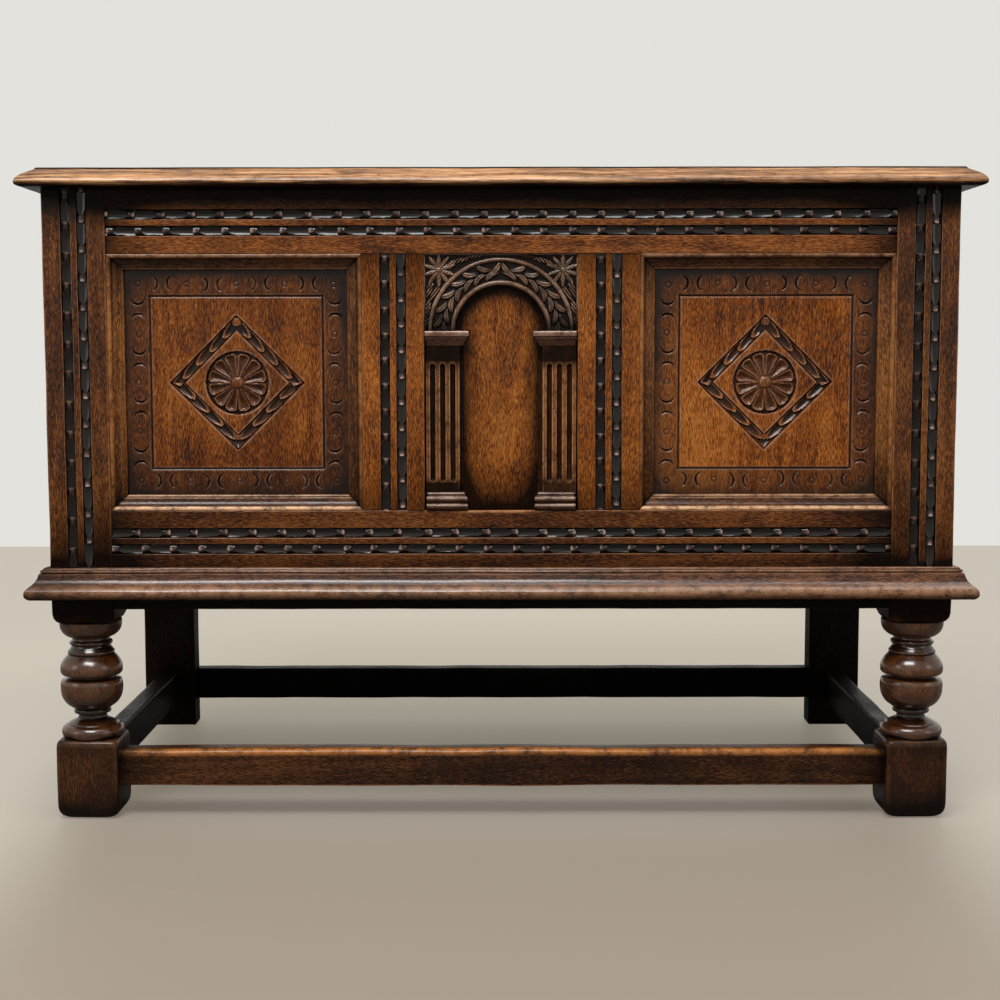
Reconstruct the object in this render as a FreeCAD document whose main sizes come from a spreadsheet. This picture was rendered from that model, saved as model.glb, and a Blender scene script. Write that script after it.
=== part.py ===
"""Coffer chest on a stand: a joined oak chest with a hinged lid, carved front and turned front legs.

Millimetres, X to the right, Y to the back, Z up. The origin is on the floor, under the middle of
the whole chest. Pieces on the right are mirror images of those on the left.
"""
import FreeCAD, Part
import os
import re
import Sketcher

doc = FreeCAD.newDocument("CofferChest")

# ---------------------------------------------------------------- driving dimensions

SIZES = [
    ("chest_width", 1010, "over the front posts"),
    ("chest_depth", 504, "front face of the posts to their back face"),
    ("post_height", 708, "floor to the underside of the lid"),
    ("post_size", 70, "front posts, square"),
    ("back_post_thick", 36, "back posts are planks"),
    ("foot_height", 90, "square foot of a front post"),
    ("foot_arris", 5, "worn upright edges of the feet"),
    ("sole_arris", 6, "worn edges on the floor"),
    ("shoulder_arris", 8, "lower edges of the square above the turning"),
    ("roll_height", 9, "turning, from the foot upwards"),
    ("dome_height", 11.5, "the roll's upper half, down to the neck"),
    ("dome_radius", 30, "lower edge of the dome above the roll"),
    ("neck_height", 6.5, "the thinnest place of the leg"),
    ("neck_radius", 16, "the thinnest place of the leg"),
    ("ring_height", 5.5, "ring on the neck"),
    ("ring_radius", 20.8, "ring on the neck"),
    ("bulb_height", 28.5, "lower half of the split ball"),
    ("groove_height", 2.4, "slit between the halves"),
    ("groove_radius", 28.5, "bottom of the slit"),
    ("ball_height", 29.6, "upper half of the split ball"),
    ("collar_height", 4.5, "flat collar on the ball"),
    ("collar_radius", 25, "flat collar on the ball"),
    ("throat_height", 9.5, "hollow above the collar"),
    ("throat_radius", 20.5, "hollow above the collar"),
    ("bead_height", 2.5, "bead above the throat"),
    ("bead_radius", 23.5, "bead above the throat"),
    ("bowl_height", 26.5, "up to the square"),
    ("quirk", 1.5, "small steps of the turning"),
    ("rail_thick", 24, "rails and muntins of front, sides and back"),
    ("top_rail_height", 71.5, "all four top rails"),
    ("bottom_rail_height", 111, "all four bottom rails"),
    ("carcass_bottom", 241.5, "underside of the bottom rails"),
    ("niche_width", 170, "middle opening of the front"),
    ("muntin_width", 68.5, "front, back and sides"),
    ("tenon_length", 25, "rails and stretchers into the posts"),
    ("tenon_thick", 8, "rails and stretchers into the posts"),
    ("tenon_shoulder", 10, "above and below each tenon"),
    ("panel_thick", 10, "all panels"),
    ("panel_set_in", 13, "face of the frame to face of the panel"),
    ("panel_groove", 8, "depth of the groove that holds a panel"),
    ("panel_play", 1, "room at the bottom of the groove"),
    ("channel_width", 11, "carved runs on posts, rails and muntins"),
    ("channel_gap", 7, "flat between a pair of runs"),
    ("channel_depth", 4, "of the carved runs"),
    ("rail_margin", 19.5, "flat between a rail's runs and the panels"),
    ("trim_width", 17.5, "mitred moulding round the side panels"),
    ("trim_thick", 13, "its outer edge is flush with the frame"),
    ("border_set_in", 27, "line that frames the panel's field"),
    ("line_width", 2, "of the framing line"),
    ("line_depth", 1.2, "of the framing line"),
    ("diamond_reach", 75, "middle of the panel to a point of the diamond"),
    ("diamond_band", 11, "width of the sunk band"),
    ("diamond_depth", 3, "of the sunk band"),
    ("rosette_radius", 35, "dish in the middle of the panel"),
    ("rosette_depth", 5, "of the dish"),
    ("rosette_button", 7, "radius of the button left in the dish"),
    ("arch_height", 85, "springing of the arch to the top rail"),
    ("arch_radius", 50, "inner edge of the arch"),
    ("arch_thick", 10, "spandrel board on the panel"),
    ("archivolt_roll", 6, "raised roll round the arch"),
    ("archivolt_reach", 81, "middle of the arch to its outer roll"),
    ("leaf_sink", 3, "carved band between the rolls"),
    ("impost_width", 51, "block that carries the arch"),
    ("impost_height", 16, "block that carries the arch"),
    ("impost_thick", 16, "how far it stands on the panel"),
    ("impost_inset", 1, "impost and base to the muntin"),
    ("shaft_width", 38, "pilaster"),
    ("shaft_thick", 9, "how far the pilaster stands on the panel"),
    ("base_width", 49, "block under the pilaster"),
    ("base_height", 20, "block under the pilaster"),
    ("base_thick", 15, "how far it stands on the panel"),
    ("flute_width", 6, "three hollows in each pilaster"),
    ("flute_pitch", 10.5, "middle to middle"),
    ("flute_depth", 3, "of the flutes"),
    ("flute_margin", 12, "top and bottom of the shaft to the flutes"),
    ("flute_end", 2.5, "height of a flute's narrowing end"),
    ("plinth_bottom", 254, "floor to the underside of the plinth moulding"),
    ("plinth_height", 35, "the moulding's height"),
    ("plinth_out", 24, "how far it stands out from the frame"),
    ("stretcher_bottom", 37, "floor to the underside of the stretchers"),
    ("stretcher_height", 42.5, "all four stretchers"),
    ("stretcher_thick", 24, "all four stretchers"),
    ("stretcher_arris", 3, "eased edges of stretchers and back posts"),
    ("worn_arris", 9, "front upper edge of the front stretcher, worn by feet"),
    ("front_stretcher_in", 8, "front face of the posts to the stretcher"),
    ("side_stretcher_in", 26, "outer face of the posts to the stretcher"),
    ("back_stretcher_in", 2, "back face of the posts to the stretcher"),
    ("bearer_height", 20, "battens that carry the bottom boards"),
    ("bearer_thick", 20, "battens that carry the bottom boards"),
    ("floor_thick", 14, "bottom boards"),
    ("board_gap", 1, "between bottom boards"),
    ("lid_thick", 22, "the lid's boards"),
    ("lid_overhang", 23, "front and sides"),
    ("lid_nose", 19, "width of the moulded edge"),
    ("lid_front_board", 180, "width of the front board"),
    ("lid_middle_board", 170, "width of the middle board"),
    ("batten_width", 45, "battens under the lid"),
    ("batten_thick", 16, "battens under the lid"),
    ("batten_arris", 2, "eased lower edges of the battens"),
    ("batten_at", 225, "middle of the lid to the middle of a batten"),
    ("batten_margin", 20, "ends of the battens to the rails"),
    ("hinge_at", 330, "middle of the chest to the middle of a hinge"),
    ("hinge_length", 64, "across the chest"),
    ("leaf_width", 22, "front to back, with the room at the knuckle"),
    ("leaf_thick", 2.2, "sheet brass"),
    ("leaf_gap", 0.2, "each leaf lies this far under its wood's face"),
    ("knuckle_radius", 4, "outside of the rolled knuckles"),
    ("knuckle_gap", 0.3, "between knuckles, and knuckle to wood"),
    ("pin_radius", 2, "hinge pin"),
    ("pin_play", 0.05, "pin to knuckle"),
    ("screw_pitch", 20, "three screws in each leaf"),
    ("screw_radius", 1.7, "shank, over the corners"),
    ("screw_head", 3.4, "radius of the head"),
    ("screw_head_thick", 1.2, "sunk in the leaf"),
    ("screw_length", 15, "below the leaf"),
    ("screw_play", 0.05, "shank and head to their holes"),
]

sizes = doc.addObject("Spreadsheet::Sheet", "Sizes")
for row, (alias, number, note) in enumerate(SIZES, start=1):
    sizes.set(f"A{row}", alias)
    sizes.set(f"B{row}", str(number))
    sizes.set(f"C{row}", note)
    sizes.setAlias(f"B{row}", alias)
doc.recompute()
ALIASES = {alias for alias, _, _ in SIZES}

# Places that follow from the sizes, as formulas in their names.
LEFT = "(-chest_width / 2)"
FRONT = "((plinth_out - chest_depth - knuckle_gap - 2 * knuckle_radius) / 2)"
BACK = f"({FRONT} + chest_depth)"
OPENING_BOTTOM = "(carcass_bottom + bottom_rail_height)"
OPENING_TOP = "(post_height - top_rail_height)"
OPENING_HEIGHT = f"({OPENING_TOP} - {OPENING_BOTTOM})"
FRAME_LENGTH = "(chest_width - 2 * post_size)"
SIDE_LENGTH = "(chest_depth - post_size - back_post_thick)"
PAIR = "(2 * channel_width + channel_gap)"
PLINTH_TOP = "(plinth_bottom + plinth_height)"
TENON_IN = "((rail_thick - tenon_thick) / 2)"
TENON_UP = "(stretcher_height - 2 * tenon_shoulder)"
STRETCHER_TENON = "((stretcher_thick - tenon_thick) / 2)"


# ---------------------------------------------------------------- ways of making a piece

def formula(text):
    """The text as an expression, each size's alias named in its sheet."""
    return re.sub(r"[a-z_]+", lambda m: f"Sizes.{m[0]}" if m[0] in ALIASES else m[0], str(text))


def value(text):
    """What the text comes to now."""
    return float(sizes.evalExpression(formula(text)))


def bind(thing, **properties):
    """Binds properties to formulas. A place's two underscores stand for dots."""
    for name, text in properties.items():
        thing.setExpression(name.replace("__", "."), formula(text))


def put(thing, x, y, z):
    bind(thing, Placement__Base__x=x, Placement__Base__y=y, Placement__Base__z=z)


def piece(label, x, y, z):
    """An empty body at its place in the chest."""
    body = doc.addObject("PartDesign::Body", label)
    body.Label = label
    put(body, x, y, z)
    return body


def block(body, name, at, size, cut=False):
    """A squared block added to a body or, as a mortise or groove, cut from it."""
    kind = "PartDesign::SubtractiveBox" if cut else "PartDesign::AdditiveBox"
    box = body.newObject(kind, name)
    bind(box, Length=size[0], Width=size[1], Height=size[2])
    put(box, *at)
    return box


def outline(body, plane, name, path):
    """A closed sketch on one of the body's planes, every corner bound to its formulas.

    A step of two formulas is a straight run to that corner. A step of four is an arc through the
    first pair to the second.
    """
    sketch = body.newObject("Sketcher::SketchObject", name)
    support = next(f for f in body.Origin.OriginFeatures if f.Role == plane)
    sketch.AttachmentSupport = (support, [""])
    sketch.MapMode = "FlatFace"

    def pin(geometry, end, across, up):
        for text, kind, axis in ((across, "DistanceX", -2), (up, "DistanceY", -1)):
            number = value(text)
            if abs(number) < 1e-9:
                sketch.addConstraint(Sketcher.Constraint("PointOnObject", geometry, end, axis))
                continue
            index = sketch.addConstraint(Sketcher.Constraint(kind, -1, 1, geometry, end, number))
            sketch.setExpression(f"Constraints[{index}]", formula(text))

    corners = [FreeCAD.Vector(value(step[-2]), value(step[-1]), 0) for step in path]
    runs = []
    for number, step in enumerate(path):
        start, end = corners[number - 1], corners[number]
        if len(step) == 2:
            run = sketch.addGeometry(Part.LineSegment(start, end), False)
        else:
            through = FreeCAD.Vector(value(step[0]), value(step[1]), 0)
            run = sketch.addGeometry(Part.Arc(start, through, end), False)
            mark = sketch.addGeometry(Part.Point(through), True)
            pin(mark, 1, step[0], step[1])
            sketch.addConstraint(Sketcher.Constraint("PointOnObject", mark, 1, run))
        far = 2 if sketch.getPoint(run, 2).distanceToPoint(end) < 1e-6 else 1
        pin(run, far, step[-2], step[-1])
        runs.append((run, far))
    for (before, far), (run, end) in zip(runs, runs[1:] + runs[:1]):
        sketch.addConstraint(Sketcher.Constraint("Coincident", before, far, run, 3 - end))
    return sketch


def pad(body, sketch, length, backwards=False):
    """Pushes a sketch along its plane's normal, which for XZ points to the front."""
    solid = body.newObject("PartDesign::Pad", sketch.Name + "Pad")
    solid.Profile = sketch
    solid.Reversed = backwards
    bind(solid, Length=length)
    return solid


def pocket(body, sketch, depth):
    hollow = body.newObject("PartDesign::Pocket", sketch.Name + "Pocket")
    hollow.Profile = sketch
    bind(hollow, Length=depth)


def ease(body, feature, reach, wanted, kind="Fillet"):
    """Rounds, or with Chamfer bevels, the feature's edges that wanted, a test on an edge's box, picks."""
    doc.recompute()
    names = [f"Edge{n}" for n, edge in enumerate(feature.Shape.Edges, start=1) if wanted(edge.BoundBox)]
    arris = body.newObject(f"PartDesign::{kind}", feature.Name + "Arris")
    arris.Base = (feature, names)
    bind(arris, **{"Radius" if kind == "Fillet" else "Size": reach})
    return arris


def mirrored(label, source):
    """The right-hand twin of a left-hand piece."""
    twin = doc.addObject("Part::Mirroring", label)
    twin.Label = label
    twin.Source = source
    twin.Normal = FreeCAD.Vector(1, 0, 0)
    return twin


def scaled(path, wide, high):
    """A moulding's outline, given in shares of its own width and height, as formulas."""
    return [tuple(f"{share} * {(wide, high)[n % 2]}" for n, share in enumerate(step)) for step in path]


nodes = []


def keep(*pieces):
    nodes.extend(pieces)


# ---------------------------------------------------------------- front posts, with the turned legs

TURNED = "(post_size / 2)"
HEIGHTS = ["foot_height"]
for part in "roll dome neck ring bulb groove ball collar throat bead bowl".split():
    HEIGHTS.append(f"{HEIGHTS[-1]} + {part}_height")
(FOOT_TOP, ROLL_TOP, DOME_TOP, NECK_TOP, RING_TOP, BULB_TOP, GROOVE_TOP, BALL_TOP, COLLAR_TOP,
 THROAT_TOP, BEAD_TOP, SHOULDER) = HEIGHTS


# Shares of the way out from one radius to the next and of the length's height.
DOME = [(0.9, 0.28), (0, 1)]
BULB = [(0.6, 0.24), (1, 0.66)]
BALL = [(1, 0.22), (1, 0.42), (0.74, 0.73), (0, 1)]


def swelling(shares, narrow, wide, bottom, high):
    """The straight steps of a swelling between two radii."""
    return [(f"{narrow} + {out} * ({wide} - {narrow})", f"{bottom} + {up} * {high}") for out, up in shares]


def turned_outline():
    """Half the turned leg: radius across, height up, from the foot to the square."""
    return [
        ("0", FOOT_TOP),
        (f"{TURNED} - quirk", FOOT_TOP),
        (TURNED, f"{FOOT_TOP} + roll_height * 0.3"),
        (TURNED, f"{FOOT_TOP} + roll_height * 0.6"),
        ("dome_radius", ROLL_TOP),
        *swelling(DOME, "neck_radius", "dome_radius", ROLL_TOP, "dome_height"),
        ("neck_radius", NECK_TOP),
        ("ring_radius", f"{NECK_TOP} + ring_height * 0.3"),
        ("ring_radius", RING_TOP),
        *swelling(BULB, "ring_radius", TURNED, RING_TOP, "bulb_height"),
        (f"{TURNED} - quirk / 2", BULB_TOP),
        ("groove_radius", f"{BULB_TOP} + groove_height / 2"),
        (f"{TURNED} - quirk", GROOVE_TOP),
        *swelling(BALL, "collar_radius", TURNED, GROOVE_TOP, "ball_height"),
        ("collar_radius - quirk / 2", COLLAR_TOP),
        ("throat_radius", f"{COLLAR_TOP} + throat_height * 0.6"),
        ("bead_radius", THROAT_TOP),
        ("bead_radius", BEAD_TOP),
        (TURNED, f"{BEAD_TOP} + bowl_height * 0.3"),
        (TURNED, SHOULDER),
        ("0", SHOULDER),
    ]


def front_post():
    body = piece("post_front_left", f"{LEFT} + post_size / 2", f"{FRONT} + post_size / 2", "0")
    corner = "-post_size / 2"
    foot = block(body, "Foot", (corner, corner, "0"), ("post_size", "post_size", "foot_height"))
    top = value("foot_height")
    upright = ease(body, foot, "foot_arris", lambda b: b.ZMin < 1 and b.ZMax > top - 1, "Chamfer")
    ease(body, upright, "sole_arris", lambda b: b.ZMax < 0.01, "Chamfer")
    square = block(body, "Square", (corner, corner, SHOULDER),
                   ("post_size", "post_size", f"post_height - ({SHOULDER})"))
    low = value(SHOULDER)
    ease(body, square, "shoulder_arris", lambda b: abs(b.ZMin - low) < 0.01 and b.ZLength < 0.01, "Chamfer")
    turning = body.newObject("PartDesign::Revolution", "Turning")
    turning.Profile = outline(body, "XZ_Plane", "TurningHalf", turned_outline())
    turning.ReferenceAxis = (turning.Profile[0], ["V_Axis"])
    turning.Angle = 360

    margin = f"(post_size - {PAIR}) / 2"
    for number, start in enumerate((margin, f"{margin} + channel_width + channel_gap")):
        block(body, f"Channel{number}", (f"{corner} + {start}", corner, PLINTH_TOP),
              ("channel_width", "channel_depth", f"post_height - {PLINTH_TOP}"), cut=True)
    inner = "post_size / 2"
    mortises(body, inner, f"{corner} + {TENON_IN}", f"{corner} + panel_set_in",
             f"{corner} + front_stretcher_in + {STRETCHER_TENON}", "x")
    mortises(body, inner, f"{corner} + {TENON_IN}", f"{corner} + panel_set_in",
             f"{corner} + side_stretcher_in + {STRETCHER_TENON}", "y")
    return body


def mortises(body, face, tenon, groove, stretcher, along, behind=False):
    """Two rail mortises, a panel groove and a stretcher mortise in one face of a post.

    face is where the face lies along the axis named, and the wood is below it, or above it when
    behind. tenon, groove and stretcher are where each cut starts across the face.
    """
    name = along.upper()
    cuts = [
        ("TopRail", tenon, "tenon_thick", "tenon_length", f"{OPENING_TOP} + tenon_shoulder",
         "top_rail_height - 2 * tenon_shoulder"),
        ("BottomRail", tenon, "tenon_thick", "tenon_length", "carcass_bottom + tenon_shoulder",
         "bottom_rail_height - 2 * tenon_shoulder"),
        ("Panel", groove, "panel_thick", "panel_groove", f"{OPENING_BOTTOM} - panel_groove",
         f"{OPENING_HEIGHT} + 2 * panel_groove"),
        ("Stretcher", stretcher, "tenon_thick", "tenon_length", "stretcher_bottom + tenon_shoulder",
         TENON_UP),
    ]
    for part, across, thick, deep, low, high in cuts:
        start = face if behind else f"{face} - {deep}"
        at = (start, across, low) if along == "x" else (across, start, low)
        size = (deep, thick, high) if along == "x" else (thick, deep, high)
        block(body, f"{part}{name}", at, size, cut=True)


post_left = front_post()
keep(post_left, mirrored("post_front_right", post_left))


# ---------------------------------------------------------------- back posts

def back_post():
    body = piece("post_back_left", LEFT, f"{BACK} - back_post_thick", "0")
    plank = block(body, "Plank", ("0", "0", "0"), ("post_size", "back_post_thick", "post_height"))
    ease(body, plank, "stretcher_arris", lambda b: b.ZMax < 0.01, "Chamfer")
    mortises(body, "post_size", f"back_post_thick - {TENON_IN} - tenon_thick",
             "back_post_thick - panel_set_in - panel_thick",
             f"back_post_thick - back_stretcher_in - {STRETCHER_TENON} - tenon_thick", "x")
    mortises(body, "0", TENON_IN, "panel_set_in", f"side_stretcher_in + {STRETCHER_TENON}", "y",
             behind=True)
    return body


post_back = back_post()
keep(post_back, mirrored("post_back_right", post_back))


# ---------------------------------------------------------------- rails

def rail_across(label, y, z, high, groove_low, face_in="0"):
    """A rail along X between two posts, tenoned at both ends, with a groove for the panels.

    groove_low says whether the groove is in its lower edge. face_in is the panel's distance from
    the rail's front face, where that isn't the panel's usual set-in.
    """
    body = piece(label, f"{LEFT} + post_size", y, z)
    block(body, "Rail", ("0", "0", "0"), (FRAME_LENGTH, "rail_thick", high))
    for end, x in (("Left", "-tenon_length"), ("Right", FRAME_LENGTH)):
        block(body, f"Tenon{end}", (x, TENON_IN, "tenon_shoulder"),
              ("tenon_length", "tenon_thick", f"{high} - 2 * tenon_shoulder"))
    block(body, "PanelGroove", ("0", face_in, "0" if groove_low else f"{high} - panel_groove"),
          (FRAME_LENGTH, "panel_thick", "panel_groove"), cut=True)
    return body


def rail_along(label, z, high, groove_low):
    """A side rail, front to back."""
    body = piece(label, LEFT, f"{FRONT} + post_size", z)
    block(body, "Rail", ("0", "0", "0"), ("rail_thick", SIDE_LENGTH, high))
    for end, y in (("Front", "-tenon_length"), ("Back", SIDE_LENGTH)):
        block(body, f"Tenon{end}", (TENON_IN, y, "tenon_shoulder"),
              ("tenon_thick", "tenon_length", f"{high} - 2 * tenon_shoulder"))
    block(body, "PanelGroove", ("panel_set_in", "0", "0" if groove_low else f"{high} - panel_groove"),
          ("panel_thick", SIDE_LENGTH, "panel_groove"), cut=True)
    return body


def channels(body, start, length):
    """A pair of sunk runs along the front of a rail, the lower one at the height start."""
    for number, low in enumerate((start, f"{start} + channel_width + channel_gap")):
        block(body, f"Channel{number}", ("0", "0", low), (length, "channel_depth", "channel_width"), cut=True)


top_front = rail_across("top_rail_front", FRONT, OPENING_TOP, "top_rail_height", True, "panel_set_in")
channels(top_front, "rail_margin", FRAME_LENGTH)
bottom_front = rail_across("bottom_rail_front", FRONT, "carcass_bottom", "bottom_rail_height", False,
                           "panel_set_in")
channels(bottom_front, f"bottom_rail_height - rail_margin - {PAIR}", FRAME_LENGTH)
BACK_FRAME = f"({BACK} - rail_thick)"
BACK_GROOVE = "rail_thick - panel_set_in - panel_thick"
top_back = rail_across("top_rail_back", BACK_FRAME, OPENING_TOP, "top_rail_height", True, BACK_GROOVE)
bottom_back = rail_across("bottom_rail_back", BACK_FRAME, "carcass_bottom", "bottom_rail_height", False,
                          BACK_GROOVE)
top_side = rail_along("top_rail_left", OPENING_TOP, "top_rail_height", True)
bottom_side = rail_along("bottom_rail_left", "carcass_bottom", "bottom_rail_height", False)
keep(top_front, bottom_front, top_back, bottom_back, top_side, mirrored("top_rail_right", top_side),
     bottom_side, mirrored("bottom_rail_right", bottom_side))


# ---------------------------------------------------------------- muntins and plain panels

def muntin(label, x, y, set_in, along="x"):
    """An upright between two rails, grooved on both edges, its stub tenons in the rails' grooves."""
    body = piece(label, x, y, OPENING_BOTTOM)
    turn = (lambda a, b, c: (a, b, c)) if along == "x" else (lambda a, b, c: (b, a, c))
    block(body, "Upright", ("0", "0", "0"), turn("muntin_width", "rail_thick", OPENING_HEIGHT))
    for end, z in (("Low", "-panel_groove"), ("High", OPENING_HEIGHT)):
        block(body, f"Stub{end}", turn("panel_groove", set_in, z),
              turn("muntin_width - 2 * panel_groove", "panel_thick", "panel_groove"))
    for side, start in (("Near", "0"), ("Far", "muntin_width - panel_groove")):
        block(body, f"Groove{side}", turn(start, set_in, "0"),
              turn("panel_groove", "panel_thick", OPENING_HEIGHT), cut=True)
    return body


def panel(label, x, y, wide, along="x"):
    """A board that stands in grooves all round. x, y and wide are of the opening it closes."""
    body = doc.addObject("Part::Box", label)
    body.Label = label
    reach = "(panel_groove - panel_play)"
    full = f"{wide} + 2 * {reach}"
    across, thick = (("Length", "Width") if along == "x" else ("Width", "Length"))
    bind(body, **{across: full, thick: "panel_thick", "Height": f"{OPENING_HEIGHT} + 2 * {reach}"})
    if along == "x":
        put(body, f"{x} - {reach}", y, f"{OPENING_BOTTOM} - {reach}")
    else:
        put(body, x, f"{y} - {reach}", f"{OPENING_BOTTOM} - {reach}")
    return body


muntin_left = muntin("muntin_front_left", "-niche_width / 2 - muntin_width", FRONT, "panel_set_in")
margin = f"(muntin_width - {PAIR}) / 2"
for number, start in enumerate((margin, f"{margin} + channel_width + channel_gap")):
    block(muntin_left, f"Channel{number}", (start, "0", "0"),
          ("channel_width", "channel_depth", OPENING_HEIGHT), cut=True)
muntin_back = muntin("muntin_back", "-muntin_width / 2", BACK_FRAME, BACK_GROOVE)
SIDE_OPENING = f"(({SIDE_LENGTH} - muntin_width) / 2)"
SIDE_START = f"{FRONT} + post_size"
muntin_side = muntin("muntin_left", LEFT, f"{SIDE_START} + {SIDE_OPENING}", "panel_set_in", "y")
keep(muntin_left, mirrored("muntin_front_right", muntin_left), muntin_back, muntin_side,
     mirrored("muntin_right", muntin_side))

SIDE_PANEL_X = f"{LEFT} + panel_set_in"
side_near = panel("panel_left_near", SIDE_PANEL_X, SIDE_START, SIDE_OPENING, "y")
side_far = panel("panel_left_far", SIDE_PANEL_X, f"{SIDE_START} + {SIDE_OPENING} + muntin_width",
                 SIDE_OPENING, "y")
BACK_PANEL_Y = f"{BACK_FRAME} + {BACK_GROOVE}"
back_left = panel("panel_back_left", f"{LEFT} + post_size", BACK_PANEL_Y,
                  f"(({FRAME_LENGTH} - muntin_width) / 2)")
PANEL_Y = f"{FRONT} + panel_set_in"
centre = panel("panel_front_centre", "-niche_width / 2", PANEL_Y, "niche_width")
keep(side_near, mirrored("panel_right_near", side_near), side_far, mirrored("panel_right_far", side_far),
     back_left, mirrored("panel_back_right", back_left), centre)


# ---------------------------------------------------------------- carved front panels and their mouldings

PANEL_WIDE = "((chest_width - 2 * post_size - niche_width) / 2 - muntin_width)"


def carved_panel():
    """A front panel with a framing line, a sunk diamond band and a rosette in a round dish."""
    reach = "(panel_groove - panel_play)"
    body = piece("panel_front_left", f"{LEFT} + post_size + {PANEL_WIDE} / 2", PANEL_Y,
                 f"{OPENING_BOTTOM} + {OPENING_HEIGHT} / 2")
    half_wide, half_high = f"({PANEL_WIDE} / 2 + {reach})", f"({OPENING_HEIGHT} / 2 + {reach})"
    block(body, "Board", (f"-{half_wide}", "0", f"-{half_high}"),
          (f"2 * {half_wide}", "panel_thick", f"2 * {half_high}"))
    field_wide = f"({PANEL_WIDE} / 2 - trim_width - border_set_in)"
    field_high = f"({OPENING_HEIGHT} / 2 - trim_width - border_set_in)"
    for side, x in (("Left", f"-{field_wide}"), ("Right", f"{field_wide} - line_width")):
        block(body, f"Line{side}", (x, "0", f"-{field_high}"),
              ("line_width", "line_depth", f"2 * {field_high}"), cut=True)
    for side, z in (("Low", f"-{field_high}"), ("High", f"{field_high} - line_width")):
        block(body, f"Line{side}", (f"-{field_wide}", "0", z),
              (f"2 * {field_wide}", "line_depth", "line_width"), cut=True)
    inner = "(diamond_reach - diamond_band * sqrt(2))"
    corners = (("1", "0"), ("0", "1"), ("-1", "0"), ("0", "-1"))
    for number in range(4):
        (ax, az), (bx, bz) = corners[number - 1], corners[number]
        band = outline(body, "XZ_Plane", f"DiamondSide{number}", [
            (f"{ax} * diamond_reach", f"{az} * diamond_reach"),
            (f"{bx} * diamond_reach", f"{bz} * diamond_reach"),
            (f"{bx} * {inner}", f"{bz} * {inner}"),
            (f"{ax} * {inner}", f"{az} * {inner}"),
        ])
        pocket(body, band, "diamond_depth")
    dish = body.newObject("PartDesign::Groove", "Dish")
    dish.Profile = outline(body, "XY_Plane", "DishHalf", [
        ("rosette_radius", "0"),
        ("rosette_radius * 0.8", "rosette_depth"),
        ("rosette_button", "rosette_depth"),
        ("rosette_button", "0"),
    ])
    dish.ReferenceAxis = (dish.Profile[0], ["V_Axis"])
    dish.Angle = 360
    return body


# Share of the moulding's width in from the opening's edge, then share of its thickness out from the panel.
TRIM = [(0, 0), (0, 1), (0.14, 1), (0.3, 0.66), (0.55, 0.46), (0.82, 0.4), (1, 0.12), (1, 0)]


def trim(label):
    """Four mitred lengths of moulding round a front panel, in one node."""
    x, z = f"{LEFT} + post_size", OPENING_BOTTOM
    lengths = []
    for name, plane, long in (("Low", "YZ_Plane", PANEL_WIDE), ("Side", "XY_Plane", OPENING_HEIGHT)):
        bar = piece(f"{label}_{name}_bar", x, f"{FRONT} + panel_set_in", z)
        path = scaled(TRIM, "trim_width", "trim_thick")
        if name == "Low":
            path = [tuple(n for pair in zip(step[1::2], step[0::2]) for n in pair) for step in path]
            path = [tuple(f"-({n})" if k % 2 == 0 else n for k, n in enumerate(step)) for step in path]
        else:
            path = [tuple(f"-({n})" if k % 2 else n for k, n in enumerate(step)) for step in path]
        pad(bar, outline(bar, plane, f"{label}{name}Profile", path), long)
        mitre = piece(f"{label}_{name}_mitre", x, f"{FRONT} + panel_set_in", z)
        ends = [("0", "0"), (long, "0"), (f"{long} - trim_width", "trim_width"), ("trim_width", "trim_width")]
        if name == "Side":
            ends = [(up, across) for across, up in ends]
        pad(mitre, outline(mitre, "XZ_Plane", f"{label}{name}Mitre", ends), "trim_thick")
        common = doc.addObject("Part::Common", f"{label}_{name}")
        common.Base, common.Tool = bar, mitre
        twin = doc.addObject("Part::Mirroring", f"{label}_{name}_twin")
        twin.Source = common
        if name == "Low":
            twin.Normal = FreeCAD.Vector(0, 0, 1)
            bind(twin, Base__z=f"{OPENING_BOTTOM} + {OPENING_HEIGHT} / 2")
        else:
            twin.Normal = FreeCAD.Vector(1, 0, 0)
            bind(twin, Base__x=f"{LEFT} + post_size + {PANEL_WIDE} / 2")
        lengths += [common, twin]
    frame = doc.addObject("Part::Compound", label)
    frame.Label = label
    frame.Links = lengths
    return frame


panel_left = carved_panel()
trim_left = trim("panel_trim_left")
keep(panel_left, mirrored("panel_front_right", panel_left), trim_left,
     mirrored("panel_trim_right", trim_left))


# ---------------------------------------------------------------- the arch and what carries it

SPRING = f"({OPENING_TOP} - arch_height)"


def arch_board():
    """The board over the niche: a roll on each side of a sunk band, round the arch."""
    high = "arch_height"
    half = "(niche_width / 2)"
    body = piece("arch_board", "0", f"{PANEL_Y} - arch_thick", SPRING)
    board = outline(body, "XZ_Plane", "Spandrel", [
        (half, "0"), (half, high), (f"-{half}", high), (f"-{half}", "0"), ("-arch_radius", "0"),
        ("0", "arch_radius", "arch_radius", "0"),
    ])
    pad(body, board, "arch_thick", backwards=True)
    inner, outer = "(arch_radius + archivolt_roll)", "(archivolt_reach - archivolt_roll)"
    band = outline(body, "XZ_Plane", "LeafBand", [
        (outer, "0"), ("0", outer, f"-{outer}", "0"), (f"-{inner}", "0"), ("0", inner, inner, "0"),
    ])
    pocket(body, band, "leaf_sink")
    return body


def common(label, *shapes):
    """What several solids share."""
    shared = doc.addObject("Part::MultiCommon", label)
    shared.Label = label
    shared.Shapes = list(shapes)
    return shared


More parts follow.
